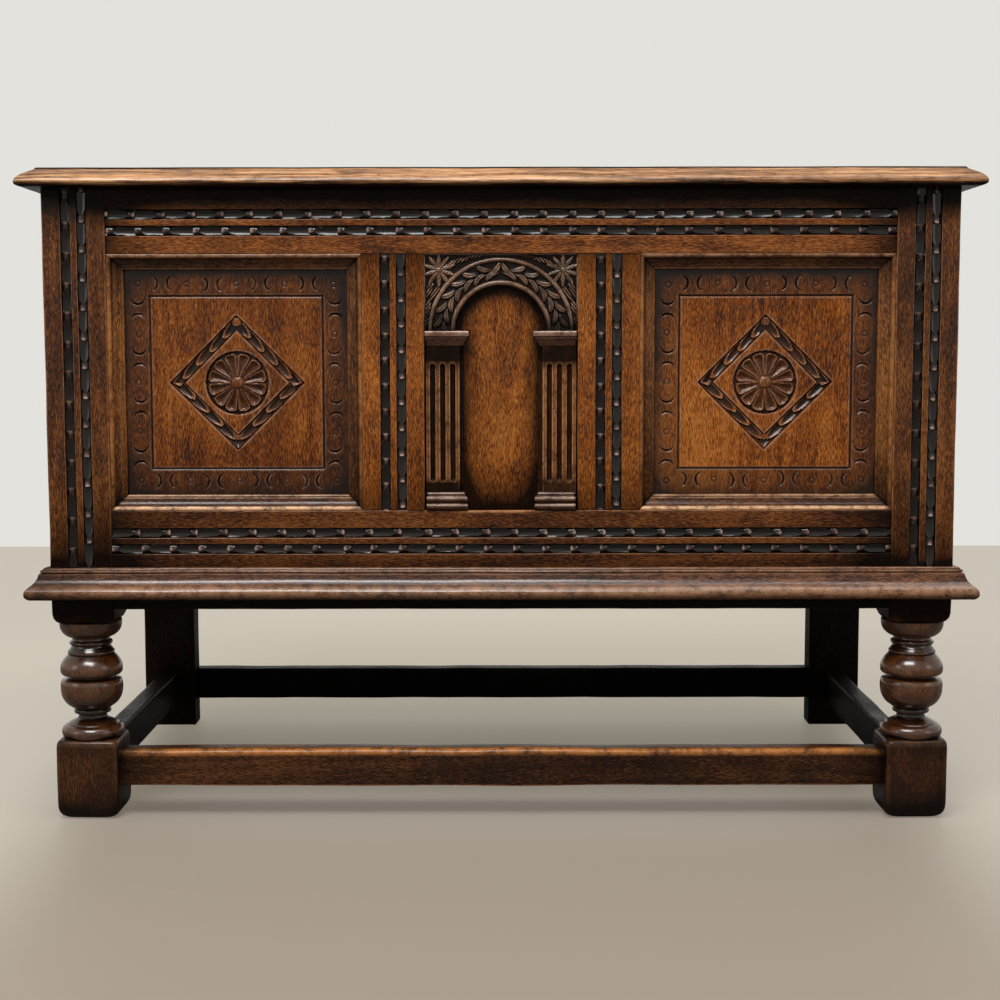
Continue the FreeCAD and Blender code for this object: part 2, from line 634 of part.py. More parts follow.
# Shares of width and height, out from the panel and up.
IMPOST = [(0, 0), (0.61, 0), (0.64, 0.25), (0.84, 0.48), (0.86, 0.6), (1, 0.65), (1, 0.94), (0.96, 1),
          (0, 1)]
BASE = [(0, 0), (1, 0), (1, 0.34), (0.8, 0.55), (0.7, 0.64), (0.76, 0.84), (0.65, 1), (0, 1)]


def moulded_block(label, x, z, wide, high, thick, shares):
    """A left-hand block, moulded in front and, mitred at the corner, on its inner end."""
    front = piece(f"{label}_front", x, PANEL_Y, z)
    path = [tuple(f"-({n})" if k % 2 == 0 else n for k, n in enumerate(step))
            for step in scaled(shares, thick, high)]
    pad(front, outline(front, "YZ_Plane", "Front", path), wide)
    inner = piece(f"{label}_inner", x, PANEL_Y, z)
    moulded = [(f"{wide} - {thick} * (1 - {out})", f"{high} * {up}") for out, up in shares[1:-1]]
    pad(inner, outline(inner, "XZ_Plane", "Inner", [("0", "0"), *moulded, ("0", high)]), thick)
    return common(label, front, inner)


def pilaster():
    """The shaft between base and impost, with three flutes stopped short of its ends."""
    high = f"({OPENING_HEIGHT} - arch_height - impost_height - base_height)"
    middle = "(-niche_width / 2 + impost_inset + impost_width / 2)"
    body = piece("pilaster_left", middle, f"{PANEL_Y} - shaft_thick", f"{OPENING_BOTTOM} + base_height")
    block(body, "Shaft", ("-shaft_width / 2", "0", "0"), ("shaft_width", "shaft_thick", high))
    low, top = "(flute_margin + flute_end)", f"({high} - flute_margin - flute_end)"
    for number, across in enumerate(("-flute_pitch", "0", "flute_pitch")):
        left, right = f"({across} - flute_width / 2)", f"({across} + flute_width / 2)"
        inner_left, inner_right = f"({across} - flute_width / 4)", f"({across} + flute_width / 4)"
        flute = outline(body, "XZ_Plane", f"Flute{number}", [
            (right, top), (inner_right, f"{top} + flute_end"), (inner_left, f"{top} + flute_end"),
            (left, top), (left, low), (inner_left, f"{low} - flute_end"),
            (inner_right, f"{low} - flute_end"), (right, low),
        ])
        pocket(body, flute, "flute_depth")
    return body


arch = arch_board()
IMPOST_X = "-niche_width / 2 + impost_inset"
impost = moulded_block("impost_left", IMPOST_X, f"{SPRING} - impost_height", "impost_width", "impost_height",
                       "impost_thick", IMPOST)
base = moulded_block("pilaster_base_left", f"{IMPOST_X} + (impost_width - base_width) / 2", OPENING_BOTTOM,
                     "base_width", "base_height", "base_thick", BASE)
shaft = pilaster()
keep(arch, impost, mirrored("impost_right", impost), shaft, mirrored("pilaster_right", shaft), base,
     mirrored("pilaster_base_right", base))


# ---------------------------------------------------------------- plinth moulding

# Shares of how far it stands out and of its height.
PLINTH = [(0, 0), (0.78, 0), (1, 0.15, 0.9, 0.33), (0.68, 0.48), (0.5, 0.65, 0.42, 0.82), (0.4, 0.88),
          (0.26, 0.9), (0.19, 0.97, 0, 1)]


def plinth_front():
    """The front length, both ends mitred."""
    profile = [tuple(f"-({n})" if k % 2 == 0 else n for k, n in enumerate(step))
               for step in scaled(PLINTH, "plinth_out", "plinth_height")]
    half, reach = "(chest_width / 2)", "(chest_width / 2 + plinth_out)"
    bar = piece("plinth_front_bar", f"-{reach}", FRONT, "plinth_bottom")
    pad(bar, outline(bar, "YZ_Plane", "FrontProfile", profile), f"2 * {reach}")
    mitre = piece("plinth_front_mitre", "0", FRONT, "plinth_bottom")
    pad(mitre, outline(mitre, "XY_Plane", "FrontMitre", [
        (half, "0"), (f"-{half}", "0"), (f"-{reach}", "-plinth_out"), (reach, "-plinth_out"),
    ]), "plinth_height")
    return common("plinth_front", bar, mitre)


def plinth_side():
    """A side length, its front end mitred and its back end square."""
    profile = [tuple(f"-({n})" if k % 2 == 0 else n for k, n in enumerate(step))
               for step in scaled(PLINTH, "plinth_out", "plinth_height")]
    bar = piece("plinth_side_bar", LEFT, BACK, "plinth_bottom")
    pad(bar, outline(bar, "XZ_Plane", "SideProfile", profile), "chest_depth + plinth_out")
    mitre = piece("plinth_side_mitre", LEFT, FRONT, "plinth_bottom")
    pad(mitre, outline(mitre, "XY_Plane", "SideMitre", [
        ("0", "0"), ("0", "chest_depth"), ("-plinth_out", "chest_depth"), ("-plinth_out", "-plinth_out"),
    ]), "plinth_height")
    return common("plinth_left", bar, mitre)


plinth_left = plinth_side()
keep(plinth_front(), plinth_left, mirrored("plinth_right", plinth_left))


# ---------------------------------------------------------------- stretchers

def stretcher(label, at, long, along, worn="stretcher_arris"):
    """A bar between two posts, tenoned at both ends, its upper arrises eased, one more if worn."""
    body = piece(label, *at)
    turn = (lambda a, b, c: (a, b, c)) if along == "x" else (lambda a, b, c: (b, a, c))
    bar = block(body, "Bar", ("0", "0", "0"), turn(long, "stretcher_thick", "stretcher_height"))
    top = value("stretcher_height")

    def upper(b):
        return b.ZMin > top - 0.01 and (b.XLength if along == "x" else b.YLength) > 1

    def outer(b):
        return upper(b) and (b.YMax if along == "x" else b.XMax) < 0.01

    eased = ease(body, bar, worn, outer)
    ease(body, eased, "stretcher_arris", lambda b: upper(b) and not outer(b) and
           (b.YMin if along == "x" else b.XMin) > value("stretcher_thick") - 0.01)
    for end, start in (("Near", "-tenon_length"), ("Far", long)):
        block(body, f"Tenon{end}", turn(start, STRETCHER_TENON, "tenon_shoulder"),
              turn("tenon_length", "tenon_thick", TENON_UP))
    return body


INNER_X = f"({LEFT} + post_size)"
stretcher_front = stretcher("stretcher_front", (INNER_X, f"{FRONT} + front_stretcher_in", "stretcher_bottom"),
                            FRAME_LENGTH, "x", "worn_arris")
stretcher_back = stretcher("stretcher_back", (INNER_X, f"{BACK} - back_stretcher_in - stretcher_thick",
                                              "stretcher_bottom"), FRAME_LENGTH, "x")
stretcher_left = stretcher("stretcher_left", (f"{LEFT} + side_stretcher_in", f"{FRONT} + post_size",
                                              "stretcher_bottom"), SIDE_LENGTH, "y")
keep(stretcher_front, stretcher_back, stretcher_left, mirrored("stretcher_right", stretcher_left))


# ---------------------------------------------------------------- the floor of the chest

FLOOR_BOTTOM = "(carcass_bottom + bearer_height)"
FLOOR_FRONT = f"({FRONT} + rail_thick)"
FLOOR_DEEP = "(chest_depth - 2 * rail_thick)"
FLOOR_HALF = "(chest_width / 2 - rail_thick)"
BOARD_WIDE = f"({FLOOR_HALF} / 2 - board_gap)"


def bearer(label, y):
    body = piece(label, INNER_X, y, "carcass_bottom")
    block(body, "Batten", ("0", "0", "0"), (FRAME_LENGTH, "bearer_thick", "bearer_height"))
    return body


def floor_end():
    """The board at the left end, notched round the two posts."""
    body = piece("bottom_board_end_left", f"{LEFT} + rail_thick", FLOOR_FRONT, FLOOR_BOTTOM)
    block(body, "Board", ("0", "0", "0"), (BOARD_WIDE, FLOOR_DEEP, "floor_thick"))
    notch = "post_size - rail_thick"
    block(body, "FrontNotch", ("0", "0", "0"), (notch, notch, "floor_thick"), cut=True)
    deep = "back_post_thick - rail_thick"
    block(body, "BackNotch", ("0", f"{FLOOR_DEEP} - ({deep})", "0"), (notch, deep, "floor_thick"), cut=True)
    return body


def floor_middle():
    body = piece("bottom_board_middle_left", f"-{BOARD_WIDE} - board_gap / 2", FLOOR_FRONT, FLOOR_BOTTOM)
    block(body, "Board", ("0", "0", "0"), (BOARD_WIDE, FLOOR_DEEP, "floor_thick"))
    return body


end_board, middle_board = floor_end(), floor_middle()
keep(bearer("bearer_front", FLOOR_FRONT), bearer("bearer_back", f"{BACK} - rail_thick - bearer_thick"),
     end_board, mirrored("bottom_board_end_right", end_board),
     middle_board, mirrored("bottom_board_middle_right", middle_board))


# ---------------------------------------------------------------- the lid

LID_HALF = "(chest_width / 2 + lid_overhang)"
LID_DEEP = "(chest_depth + lid_overhang)"
# The moulded edge, top to bottom: shares of its width, in from the tip, and of the lid's thickness.
LID_EDGE = [(1, 1), (1, 0.91), (0.5, 0.74, 0.05, 0.47), (0, 0.32, 0.06, 0.16), (0.2, 0.04, 0.42, 0)]


def lid_edge(tip, sign):
    """The moulded edge's steps from top to bottom, its tip at a place and the lid in sign's direction."""
    steps = scaled(LID_EDGE, "lid_nose", "lid_thick")
    return [tuple(f"{tip} {sign} {n}" if k % 2 == 0 else n for k, n in enumerate(step)) for step in steps]


def lid_silhouettes():
    """The lid's outline from the front, run to the back, and its outline from the left, run to the right."""
    left, right = lid_edge(f"-{LID_HALF}", "+"), lid_edge(LID_HALF, "-")
    across = piece("lid_across", "0", BACK, "post_height")
    rising = [right[-1][-2:]] + [(*mid, *to) for mid, to in reverse(right)]
    pad(across, outline(across, "XZ_Plane", "Across", left + rising), LID_DEEP)
    along = piece("lid_along", f"-{LID_HALF}", FRONT, "post_height")
    rear = [("chest_depth", "0"), ("chest_depth", "lid_thick")]
    pad(along, outline(along, "YZ_Plane", "Along", lid_edge("-lid_overhang", "+") + rear), f"2 * {LID_HALF}")
    return across, along


def reverse(steps):
    """The same run walked from its last corner to its first, as pairs of arc middle and corner."""
    return [(step[:-2], before[-2:]) for before, step in zip(steps[-2::-1], steps[::-1])]


def lid_board(label, y, wide):
    """A lid board, as wide as it lies from front to back."""
    body = piece(label, f"-{LID_HALF}", y, "post_height")
    block(body, "Board", ("0", "0", "0"), (f"2 * {LID_HALF}", wide, "lid_thick"))
    return body


lid_shape = lid_silhouettes()
LID_FRONT = f"({FRONT} - lid_overhang)"
LID_BACK_BOARD = "(chest_depth + lid_overhang - lid_front_board - lid_middle_board)"
board_front = lid_board("lid_front_board_blank", LID_FRONT, "lid_front_board")
board_middle = lid_board("lid_middle_board_blank", f"{LID_FRONT} + lid_front_board", "lid_middle_board")
board_back = lid_board("lid_back_board_blank", f"{BACK} - {LID_BACK_BOARD}", LID_BACK_BOARD)


def batten():
    body = piece("lid_batten_left", "-batten_at - batten_width / 2", f"{FRONT} + rail_thick + batten_margin",
                 "post_height - batten_thick")
    long = "chest_depth - 2 * rail_thick - 2 * batten_margin"
    bar = block(body, "Bar", ("0", "0", "0"), ("batten_width", long, "batten_thick"))
    ease(body, bar, "batten_arris", lambda b: b.ZMax < 0.01, "Chamfer")
    return body


batten_left = batten()
keep(batten_left, mirrored("lid_batten_right", batten_left))


# ---------------------------------------------------------------- hinges and their screws

AXIS_Y = f"({BACK} + knuckle_gap + knuckle_radius)"
WOOD = "(knuckle_gap + knuckle_radius)"
HOLE = "(screw_radius + screw_play)"
KNUCKLE = "(hinge_length / 3)"
SCREW_Y = f"({WOOD} + leaf_width / 2)"
SCREW_X = ("-screw_pitch", "0", "screw_pitch")
ALONG_X = FreeCAD.Rotation(FreeCAD.Vector(0, 1, 0), 90)


def rod(body, name, at, radius, long, cut=False):
    """A round bar, or a bore, along X."""
    kind = "PartDesign::SubtractiveCylinder" if cut else "PartDesign::AdditiveCylinder"
    bar = body.newObject(kind, name)
    bar.Placement.Rotation = ALONG_X
    bind(bar, Radius=radius, Height=long)
    put(bar, *at)


def peg(body, name, at, radius, long, cut=False):
    """An upright length of a screw, or its hole, eight-sided to stay light."""
    bar = body.newObject("PartDesign::SubtractivePrism" if cut else "PartDesign::AdditivePrism", name)
    bar.Polygon = 8
    bind(bar, Circumradius=radius, Height=long)
    put(bar, *at)


def hinge_leaf(label, knuckles, upper):
    """A leaf with its knuckles, number 0 at one end, 1 in the middle and 2 at the other end."""
    body = piece(label, "-hinge_at", AXIS_Y, "post_height")
    low = "leaf_gap" if upper else "-leaf_gap - leaf_thick"
    block(body, "Plate", ("-hinge_length / 2", f"-{WOOD} - leaf_width", low),
          ("hinge_length", "leaf_width - knuckle_gap / 3", "leaf_thick"))
    for number in knuckles:
        start = f"(-hinge_length / 2 + {number} * {KNUCKLE} + knuckle_gap / 2)"
        long = f"({KNUCKLE} - knuckle_gap)"
        block(body, f"Arm{number}", (start, f"-{WOOD} - leaf_width / 4", low),
              (long, f"{WOOD} + leaf_width / 4", "leaf_thick"))
        rod(body, f"Knuckle{number}", (start, "0", "0"), "knuckle_radius", long)
    rod(body, "Bore", ("-hinge_length / 2", "0", "0"), "pin_radius + pin_play", "hinge_length", cut=True)
    sink = "leaf_gap" if upper else "-leaf_gap - screw_head_thick"
    for number, across in enumerate(SCREW_X):
        peg(body, f"Hole{number}", (across, f"-{SCREW_Y}", low), HOLE, "leaf_thick", cut=True)
        peg(body, f"Sink{number}", (across, f"-{SCREW_Y}", sink), "screw_head + screw_play",
            "screw_head_thick", cut=True)
    return body


def screw(label, across, upper):
    """A wood screw, its head sunk in the leaf's face."""
    face = "post_height + leaf_gap" if upper else "post_height - leaf_gap"
    body = piece(label, f"-hinge_at + {across}", f"{AXIS_Y} - {SCREW_Y}", face)
    shank = "(leaf_thick + screw_length - screw_head_thick)"
    peg(body, "Head", ("0", "0", "0" if upper else "-screw_head_thick"), "screw_head", "screw_head_thick")
    peg(body, "Shank", ("0", "0", "screw_head_thick" if upper else f"-screw_head_thick - {shank}"),
        "screw_radius", shank)
    return body


def hinge_seats(body, x, y, z, upper):
    """Recesses for two leaves and holes for their screws, in a rail or board whose corner is at x, y, z."""
    deep = "(leaf_gap + leaf_thick)"
    recess = "post_height" if upper else f"post_height - {deep}"
    holes = f"post_height + {deep}" if upper else f"post_height - {deep} - screw_length"
    for side, sign in (("Left", "-"), ("Right", "+")):
        block(body, f"Recess{side}",
              (f"{sign}hinge_at - hinge_length / 2 - {x}", f"{BACK} - leaf_width - {y}", f"{recess} - {z}"),
              ("hinge_length", "leaf_width", deep), cut=True)
        for number, across in enumerate(SCREW_X):
            peg(body, f"Pilot{side}{number}",
                (f"{sign}hinge_at + {across} - {x}", f"{AXIS_Y} - {SCREW_Y} - {y}", f"{holes} - {z}"),
                HOLE, "screw_length", cut=True)


def pair(label, *lefts):
    """Hinge pieces on the left and their twins on the right, in one node."""
    twins = [mirrored(f"{one.Name}_twin", one) for one in lefts]
    group = doc.addObject("Part::Compound", label)
    group.Label = label
    group.Links = [*lefts, *twins]
    return group


hinge_seats(top_back, INNER_X, BACK_FRAME, OPENING_TOP, upper=False)
hinge_seats(board_back, f"(-{LID_HALF})", f"({BACK} - {LID_BACK_BOARD})", "post_height", upper=True)
keep(common("lid_board_front", board_front, *lid_shape), common("lid_board_middle", board_middle, *lid_shape),
     common("lid_board_back", board_back, *lid_shape))

pin = piece("pin_left", "-hinge_at - hinge_length / 2", AXIS_Y, "post_height")
rod(pin, "Rod", ("0", "0", "0"), "pin_radius", "hinge_length")
keep(pair("hinge_leaves_lower", hinge_leaf("leaf_lower_left", (0, 2), upper=False)),
     pair("hinge_leaves_upper", hinge_leaf("leaf_upper_left", (1,), upper=True)),
     pair("hinge_pins", pin),
     pair("screws_lower", *(screw(f"screw_lower_{n}", at, False) for n, at in enumerate(SCREW_X))),
     pair("screws_upper", *(screw(f"screw_upper_{n}", at, True) for n, at in enumerate(SCREW_X))))


# ---------------------------------------------------------------- write the pieces

doc.recompute()
for thing in doc.Objects:
    bad = {"Invalid", "Error"} & set(thing.State)
    if bad:
        raise RuntimeError(f"{thing.Label} failed: {thing.State}")
for node in nodes:
    if node.Shape.isNull() or not node.Shape.isValid() or not node.Shape.Solids:
        raise RuntimeError(f"{node.Label} has no valid shape")
os.makedirs("parts", exist_ok=True)
for node in nodes:
    node.Shape.exportStep(os.path.join("parts", f"{node.Label}.step"))
print(f"{len(nodes)} pieces")
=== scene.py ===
import math

import bmesh
import bpy
import numpy as np
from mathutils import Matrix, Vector
from mathutils.bvhtree import BVHTree


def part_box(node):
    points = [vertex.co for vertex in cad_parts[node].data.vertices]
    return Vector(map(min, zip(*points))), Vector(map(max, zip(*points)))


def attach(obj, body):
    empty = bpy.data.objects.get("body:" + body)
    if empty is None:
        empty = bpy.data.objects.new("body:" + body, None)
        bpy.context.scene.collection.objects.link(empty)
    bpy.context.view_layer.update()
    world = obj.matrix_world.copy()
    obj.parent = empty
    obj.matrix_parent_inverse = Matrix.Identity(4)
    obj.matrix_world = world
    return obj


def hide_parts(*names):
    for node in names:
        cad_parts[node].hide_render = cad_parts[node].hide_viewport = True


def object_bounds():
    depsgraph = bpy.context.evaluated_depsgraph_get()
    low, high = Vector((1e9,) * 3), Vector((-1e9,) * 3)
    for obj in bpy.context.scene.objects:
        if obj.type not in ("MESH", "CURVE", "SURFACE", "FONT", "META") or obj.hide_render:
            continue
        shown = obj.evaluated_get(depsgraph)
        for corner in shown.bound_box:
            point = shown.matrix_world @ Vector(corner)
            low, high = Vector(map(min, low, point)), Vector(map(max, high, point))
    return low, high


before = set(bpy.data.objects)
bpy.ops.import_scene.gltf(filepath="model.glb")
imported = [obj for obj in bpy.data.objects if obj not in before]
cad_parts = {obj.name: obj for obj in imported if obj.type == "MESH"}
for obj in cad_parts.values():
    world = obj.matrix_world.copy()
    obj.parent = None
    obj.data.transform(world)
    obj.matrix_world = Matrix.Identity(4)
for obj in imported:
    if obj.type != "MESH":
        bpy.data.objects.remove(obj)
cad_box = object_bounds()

# ---------------------------------------------------------------- front posts
# Each front post is one oak timber: a square foot, a turned leg and the square stile of the chest above
# it, with two sunk runs down its face. It is sawn, turned on the lathe, then planed, stained and waxed.

MM = 0.001
X, Y, Z = np.eye(3)
# How far the rays reach that find the hollows for old wax and painted shade, how far from the surface they
# start, and how many there are.
WAX_AND_SHADE_REACH, CLEAR, RAYS = 26, 1.2, 30


def place(node):
    """The lowest and highest corner of a CAD piece, in millimetres."""
    low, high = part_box(node)
    return np.array(low) / MM, np.array(high) / MM


def fade(distance, reach):
    """1 at no distance, falling evenly to 0 at reach."""
    return np.clip(1 - distance / reach, 0, 1)


def steps(long, room=30.0):
    """Places from 0 to long, close together near both ends."""
    near = [n for n in (0, 2.5, 6, 12, 21) if n < long / 2 - 1] or [0]
    middle = long - 2 * near[-1]
    count = max(1, round(middle / room))
    inner = [near[-1] + middle * k / count for k in range(1, count)]
    return np.array(near + inner + [long - n for n in reversed(near)])


def rounded(corners, radius):
    """A section's outline, its outward corners rounded and its sides divided, and each point's wear.

    A corner of three numbers names its own radius.
    """
    spots = [np.array(corner[:2], float) for corner in corners]
    radii = [corner[2] if len(corner) > 2 else radius for corner in corners]
    turn = sum(a[0] * b[1] - a[1] * b[0] for a, b in zip(spots, spots[1:] + spots[:1]))
    outline = []
    for n, here in enumerate(spots):
        to, off = here - spots[n - 1], spots[(n + 1) % len(spots)] - here
        reach = min(radii[n], np.linalg.norm(to) * 0.45, np.linalg.norm(off) * 0.45)
        if (to[0] * off[1] - to[1] * off[0]) * turn <= 0 or reach < 0.05:
            outline.append((here, 0.0))
            continue
        first, last = here - to / np.linalg.norm(to) * reach, here + off / np.linalg.norm(off) * reach
        for t in np.linspace(0, 1, 5 if reach < 4 else 8):
            spot = first * (1 - t) ** 2 + here * 2 * t * (1 - t) + last * t ** 2
            outline.append((spot, math.sin(math.pi * t)))
    points, worn = [], []
    for (here, wear), (after, _) in zip(outline, outline[1:] + outline[:1]):
        gap = np.linalg.norm(after - here)
        marks = steps(gap, 16)[:-1] / gap if gap > 6 else [0]
        points += [here + (after - here) * t for t in marks]
        worn += [wear] + [0] * (len(marks) - 1)
    return np.array(points), np.array(worn)


def length(start, along, across, up, long, section, mitres=(0, 0), eased=0.0):
    """A straight length of wood with that section. An end runs on by its mitre times the distance across.

    eased is the arris worked on its two ends.
    """
    points, worn = section
    ahead, back = np.roll(points, -1, 0) - points, points - np.roll(points, 1, 0)
    tangent = ahead / np.linalg.norm(ahead, axis=1)[:, None] + back / np.linalg.norm(back, axis=1)[:, None]
    turn = np.sum(points[:, 0] * np.roll(points[:, 1], -1) - points[:, 1] * np.roll(points[:, 0], -1))
    inward = np.stack([-tangent[:, 1], tangent[:, 0]], 1) * np.sign(turn)
    inward /= np.linalg.norm(inward, axis=1)[:, None] + 1e-9
    marks = [(m, 0.0) for m in steps(long)]
    if eased:
        low = eased * 0.3
        inner = [mark for mark in marks[1:-1] if eased < mark[0] < long - eased]
        marks = [(0, eased), (low, low), *inner, (long - low, low), (long, eased)]
    rings, wear = [], []
    for mark, inset in marks:
        spot = points + inward * inset
        across_by, up_by = spot[:, :1], spot[:, 1:]
        full = long + (mitres[0] + mitres[1]) * across_by
        at = mark / long * full - mitres[0] * across_by
        rings.append(np.array(start) + at * along + across_by * across + up_by * up)
        wear.append(np.maximum(worn, 0.7 if inset else 0))
    return tube(rings, wear)


def tube(rings, wear):
    """A closed solid through rings of points, flat at both ends."""
    count, around = len(rings), len(rings[0])
    number = np.arange(count * around).reshape(count, around)
    after = np.roll(number, -1, 1)
    faces = np.stack([number[:-1], after[:-1], after[1:], number[1:]], -1).reshape(-1, 4).tolist()
    faces += [number[0][::-1].tolist(), number[-1].tolist()]
    return {"points": np.concatenate(rings), "faces": faces, "worn": np.concatenate(wear)}


def square_tier(middle, half, z, inset, corner):
    """One level of a squared block: a ring with its four corners rounded."""
    side = half - inset
    corner = min(corner, side * 0.9)
    ring = []
    for quarter in range(4):
        a, b = math.cos(quarter * math.pi / 2), math.sin(quarter * math.pi / 2)
        for angle in np.linspace(0, math.pi / 2, 7):
            u, v = side - corner * (1 - math.cos(angle)), side - corner * (1 - math.sin(angle))
            ring.append((middle[0] + a * u - b * v, middle[1] + b * u + a * v, z))
    return np.array(ring)


def squared(middle, half, levels):
    """A squared block from levels of height, inset, corner radius and wear."""
    corners = np.tile([0.2, 0.7, 1, 1, 1, 0.7, 0.2], 4)
    rings = [square_tier(middle, half, z, inset, corner) for z, inset, corner, _ in levels]
    return tube(rings, [np.maximum(corners * 0.3, wear) for *_, wear in levels])


def lathe(middle, runs, around=88):
    """A turned length. Each run of (height, radius) is one smooth curve and the runs meet in sharp lines."""
    rings, wear = [], []
    angles = np.linspace(0, 2 * math.pi, around, endpoint=False)
    for run in runs:
        run = np.array(run, float)
        padded = np.vstack([2 * run[0] - run[1], run, 2 * run[-1] - run[-2]])
        for a, b, c, d in zip(padded, padded[1:], padded[2:], padded[3:]):
            for t in np.linspace(0, 1, 6 if len(run) > 2 else 2)[:-1]:
                z, r = 0.5 * (2 * b + (c - a) * t + (2 * a - 5 * b + 4 * c - d) * t * t
                              + (3 * b - a - 3 * c + d) * t ** 3)
                rings.append((z, r))
        rings.append(tuple(run[-1]))
    widest = max(r for _, r in rings)
    shapes = []
    for z, r in rings:
        shapes.append(np.stack([middle[0] + r * np.cos(angles), middle[1] + r * np.sin(angles),
                                np.full(around, z)], 1))
        wear.append(np.full(around, max(0.0, (r / widest - 0.86) / 0.14) * 0.3))
    return tube(shapes, wear)


solids = list(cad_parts.values())
firsts = np.cumsum([0] + [len(solid.data.vertices) for solid in solids]).tolist()
wood = BVHTree.FromPolygons(
    [vertex.co.copy() for solid in solids for vertex in solid.data.vertices],
    [[v + first for v in face.vertices]
     for first, solid in zip(firsts, solids) for face in solid.data.polygons])
spiral = np.arange(RAYS) * math.pi * (3 - math.sqrt(5))
climb = 1 - 2 * (np.arange(RAYS) + 0.5) / RAYS
sky = [Vector((math.sqrt(1 - h * h) * math.cos(t), math.sqrt(1 - h * h) * math.sin(t), h))
       for t, h in zip(spiral, climb)]


def hollow_wax_and_shade(spot, normal):
    """How closely other wood stands round a point, from 0 to 1: old wax and dust in the hollows there, and
    painted shade where that wood would block the light.
    """
    start = spot + normal * (CLEAR * MM)
    felt = full = 0.0
    for way in sky:
        lean = normal.dot(way)
        if lean < 0.1:
            continue
        full += lean
        _, facing, _, distance = wood.ray_cast(start, way, WAX_AND_SHADE_REACH * MM)
        if distance is not None and facing.dot(way) < 0:
            felt += lean * (1 - distance / (WAX_AND_SHADE_REACH * MM))
    return felt / full


def set_down(name, data):
    """A new object in the scene from its mesh, light or camera."""
    thing = bpy.data.objects.new(name, data)
    bpy.context.scene.collection.objects.link(thing)
    return thing


def make(name, parts, finish, nodes=(), body="carcass", smooth=38, uneven=0.22):
    """One piece of the chest from its parts, in its finish, riding on its body in place of the CAD nodes.

    A part holds points, faces, and wear that on some pieces is a painted highlight, and may hold stain,
    polish and wax.
    Where it has no wax, that is worked out from the wood round it: old wax and dust in the hollows, and
    painted shade where that wood would block the light. The stain is added to the wax, and on some pieces it
    is painted shade.
    """
    faces, count = [], 0
    for part in parts:
        faces += [[v + count for v in face] for face in part["faces"]]
        count += len(part["points"])
    points = np.concatenate([part["points"] for part in parts])
    worn, wax_and_shade, stain, polish = (
        np.concatenate([part.get(layer, unset) + np.zeros(len(part["points"])) for part in parts])
        for layer, unset in (("worn", 0.0), ("wax_and_shade", -1.0), ("stain", 0.0), ("polish", 0.0)))
    draw = np.random.default_rng(sum(map(ord, name)))
    slow = points.copy()
    for _ in range(3):
        way, phase = draw.normal(0, 0.045, 3), draw.uniform(0, 6.3, 3)
        slow = slow + uneven / 2 * np.sin(points @ way[:, None] + phase)
    slow = np.clip(slow, *(np.array(corner) / MM for corner in cad_box))
    mesh = bpy.data.meshes.new(name)
    mesh.from_pydata((slow * MM).tolist(), [], faces)
    shell = bmesh.new()
    shell.from_mesh(mesh)
    bmesh.ops.recalc_face_normals(shell, faces=shell.faces)
    shell.to_mesh(mesh)
    shell.free()
    mesh.polygons.foreach_set("use_smooth", [True] * len(mesh.polygons))
    mesh.set_sharp_from_angle(angle=math.radians(smooth))
    for n in np.flatnonzero(wax_and_shade < 0):
        vertex = mesh.vertices[int(n)]
        wax_and_shade[n] = hollow_wax_and_shade(vertex.co, vertex.normal)
    wax_and_shade = wax_and_shade + stain
    for layer, values in (("worn", worn), ("wax_and_shade", wax_and_shade), ("polish", polish)):
        mesh.attributes.new(layer, "FLOAT", "POINT").data.foreach_set("value", values.astype(np.float32))
    mesh.materials.append(finish)
    piece = set_down(name, mesh)
    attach(piece, body)
    if nodes:
        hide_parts(*nodes)
    return piece


def paint(red, green, blue):
    """A colour as it is seen, from 0 to 255, as the light that a shader takes."""
    seen = [value / 255 for value in (red, green, blue)]
    return tuple(v / 12.92 if v <= 0.04045 else ((v + 0.055) / 1.055) ** 2.4 for v in seen) + (1.0,)


def feed(node, sockets):
    """Link the tones among these to a node's sockets, and set its other sockets to plain values."""
    for key, value in sockets.items():
        if isinstance(value, Tone):
            node.id_data.links.new(node.inputs[key], value.socket)
        else:
            node.inputs[key].default_value = value


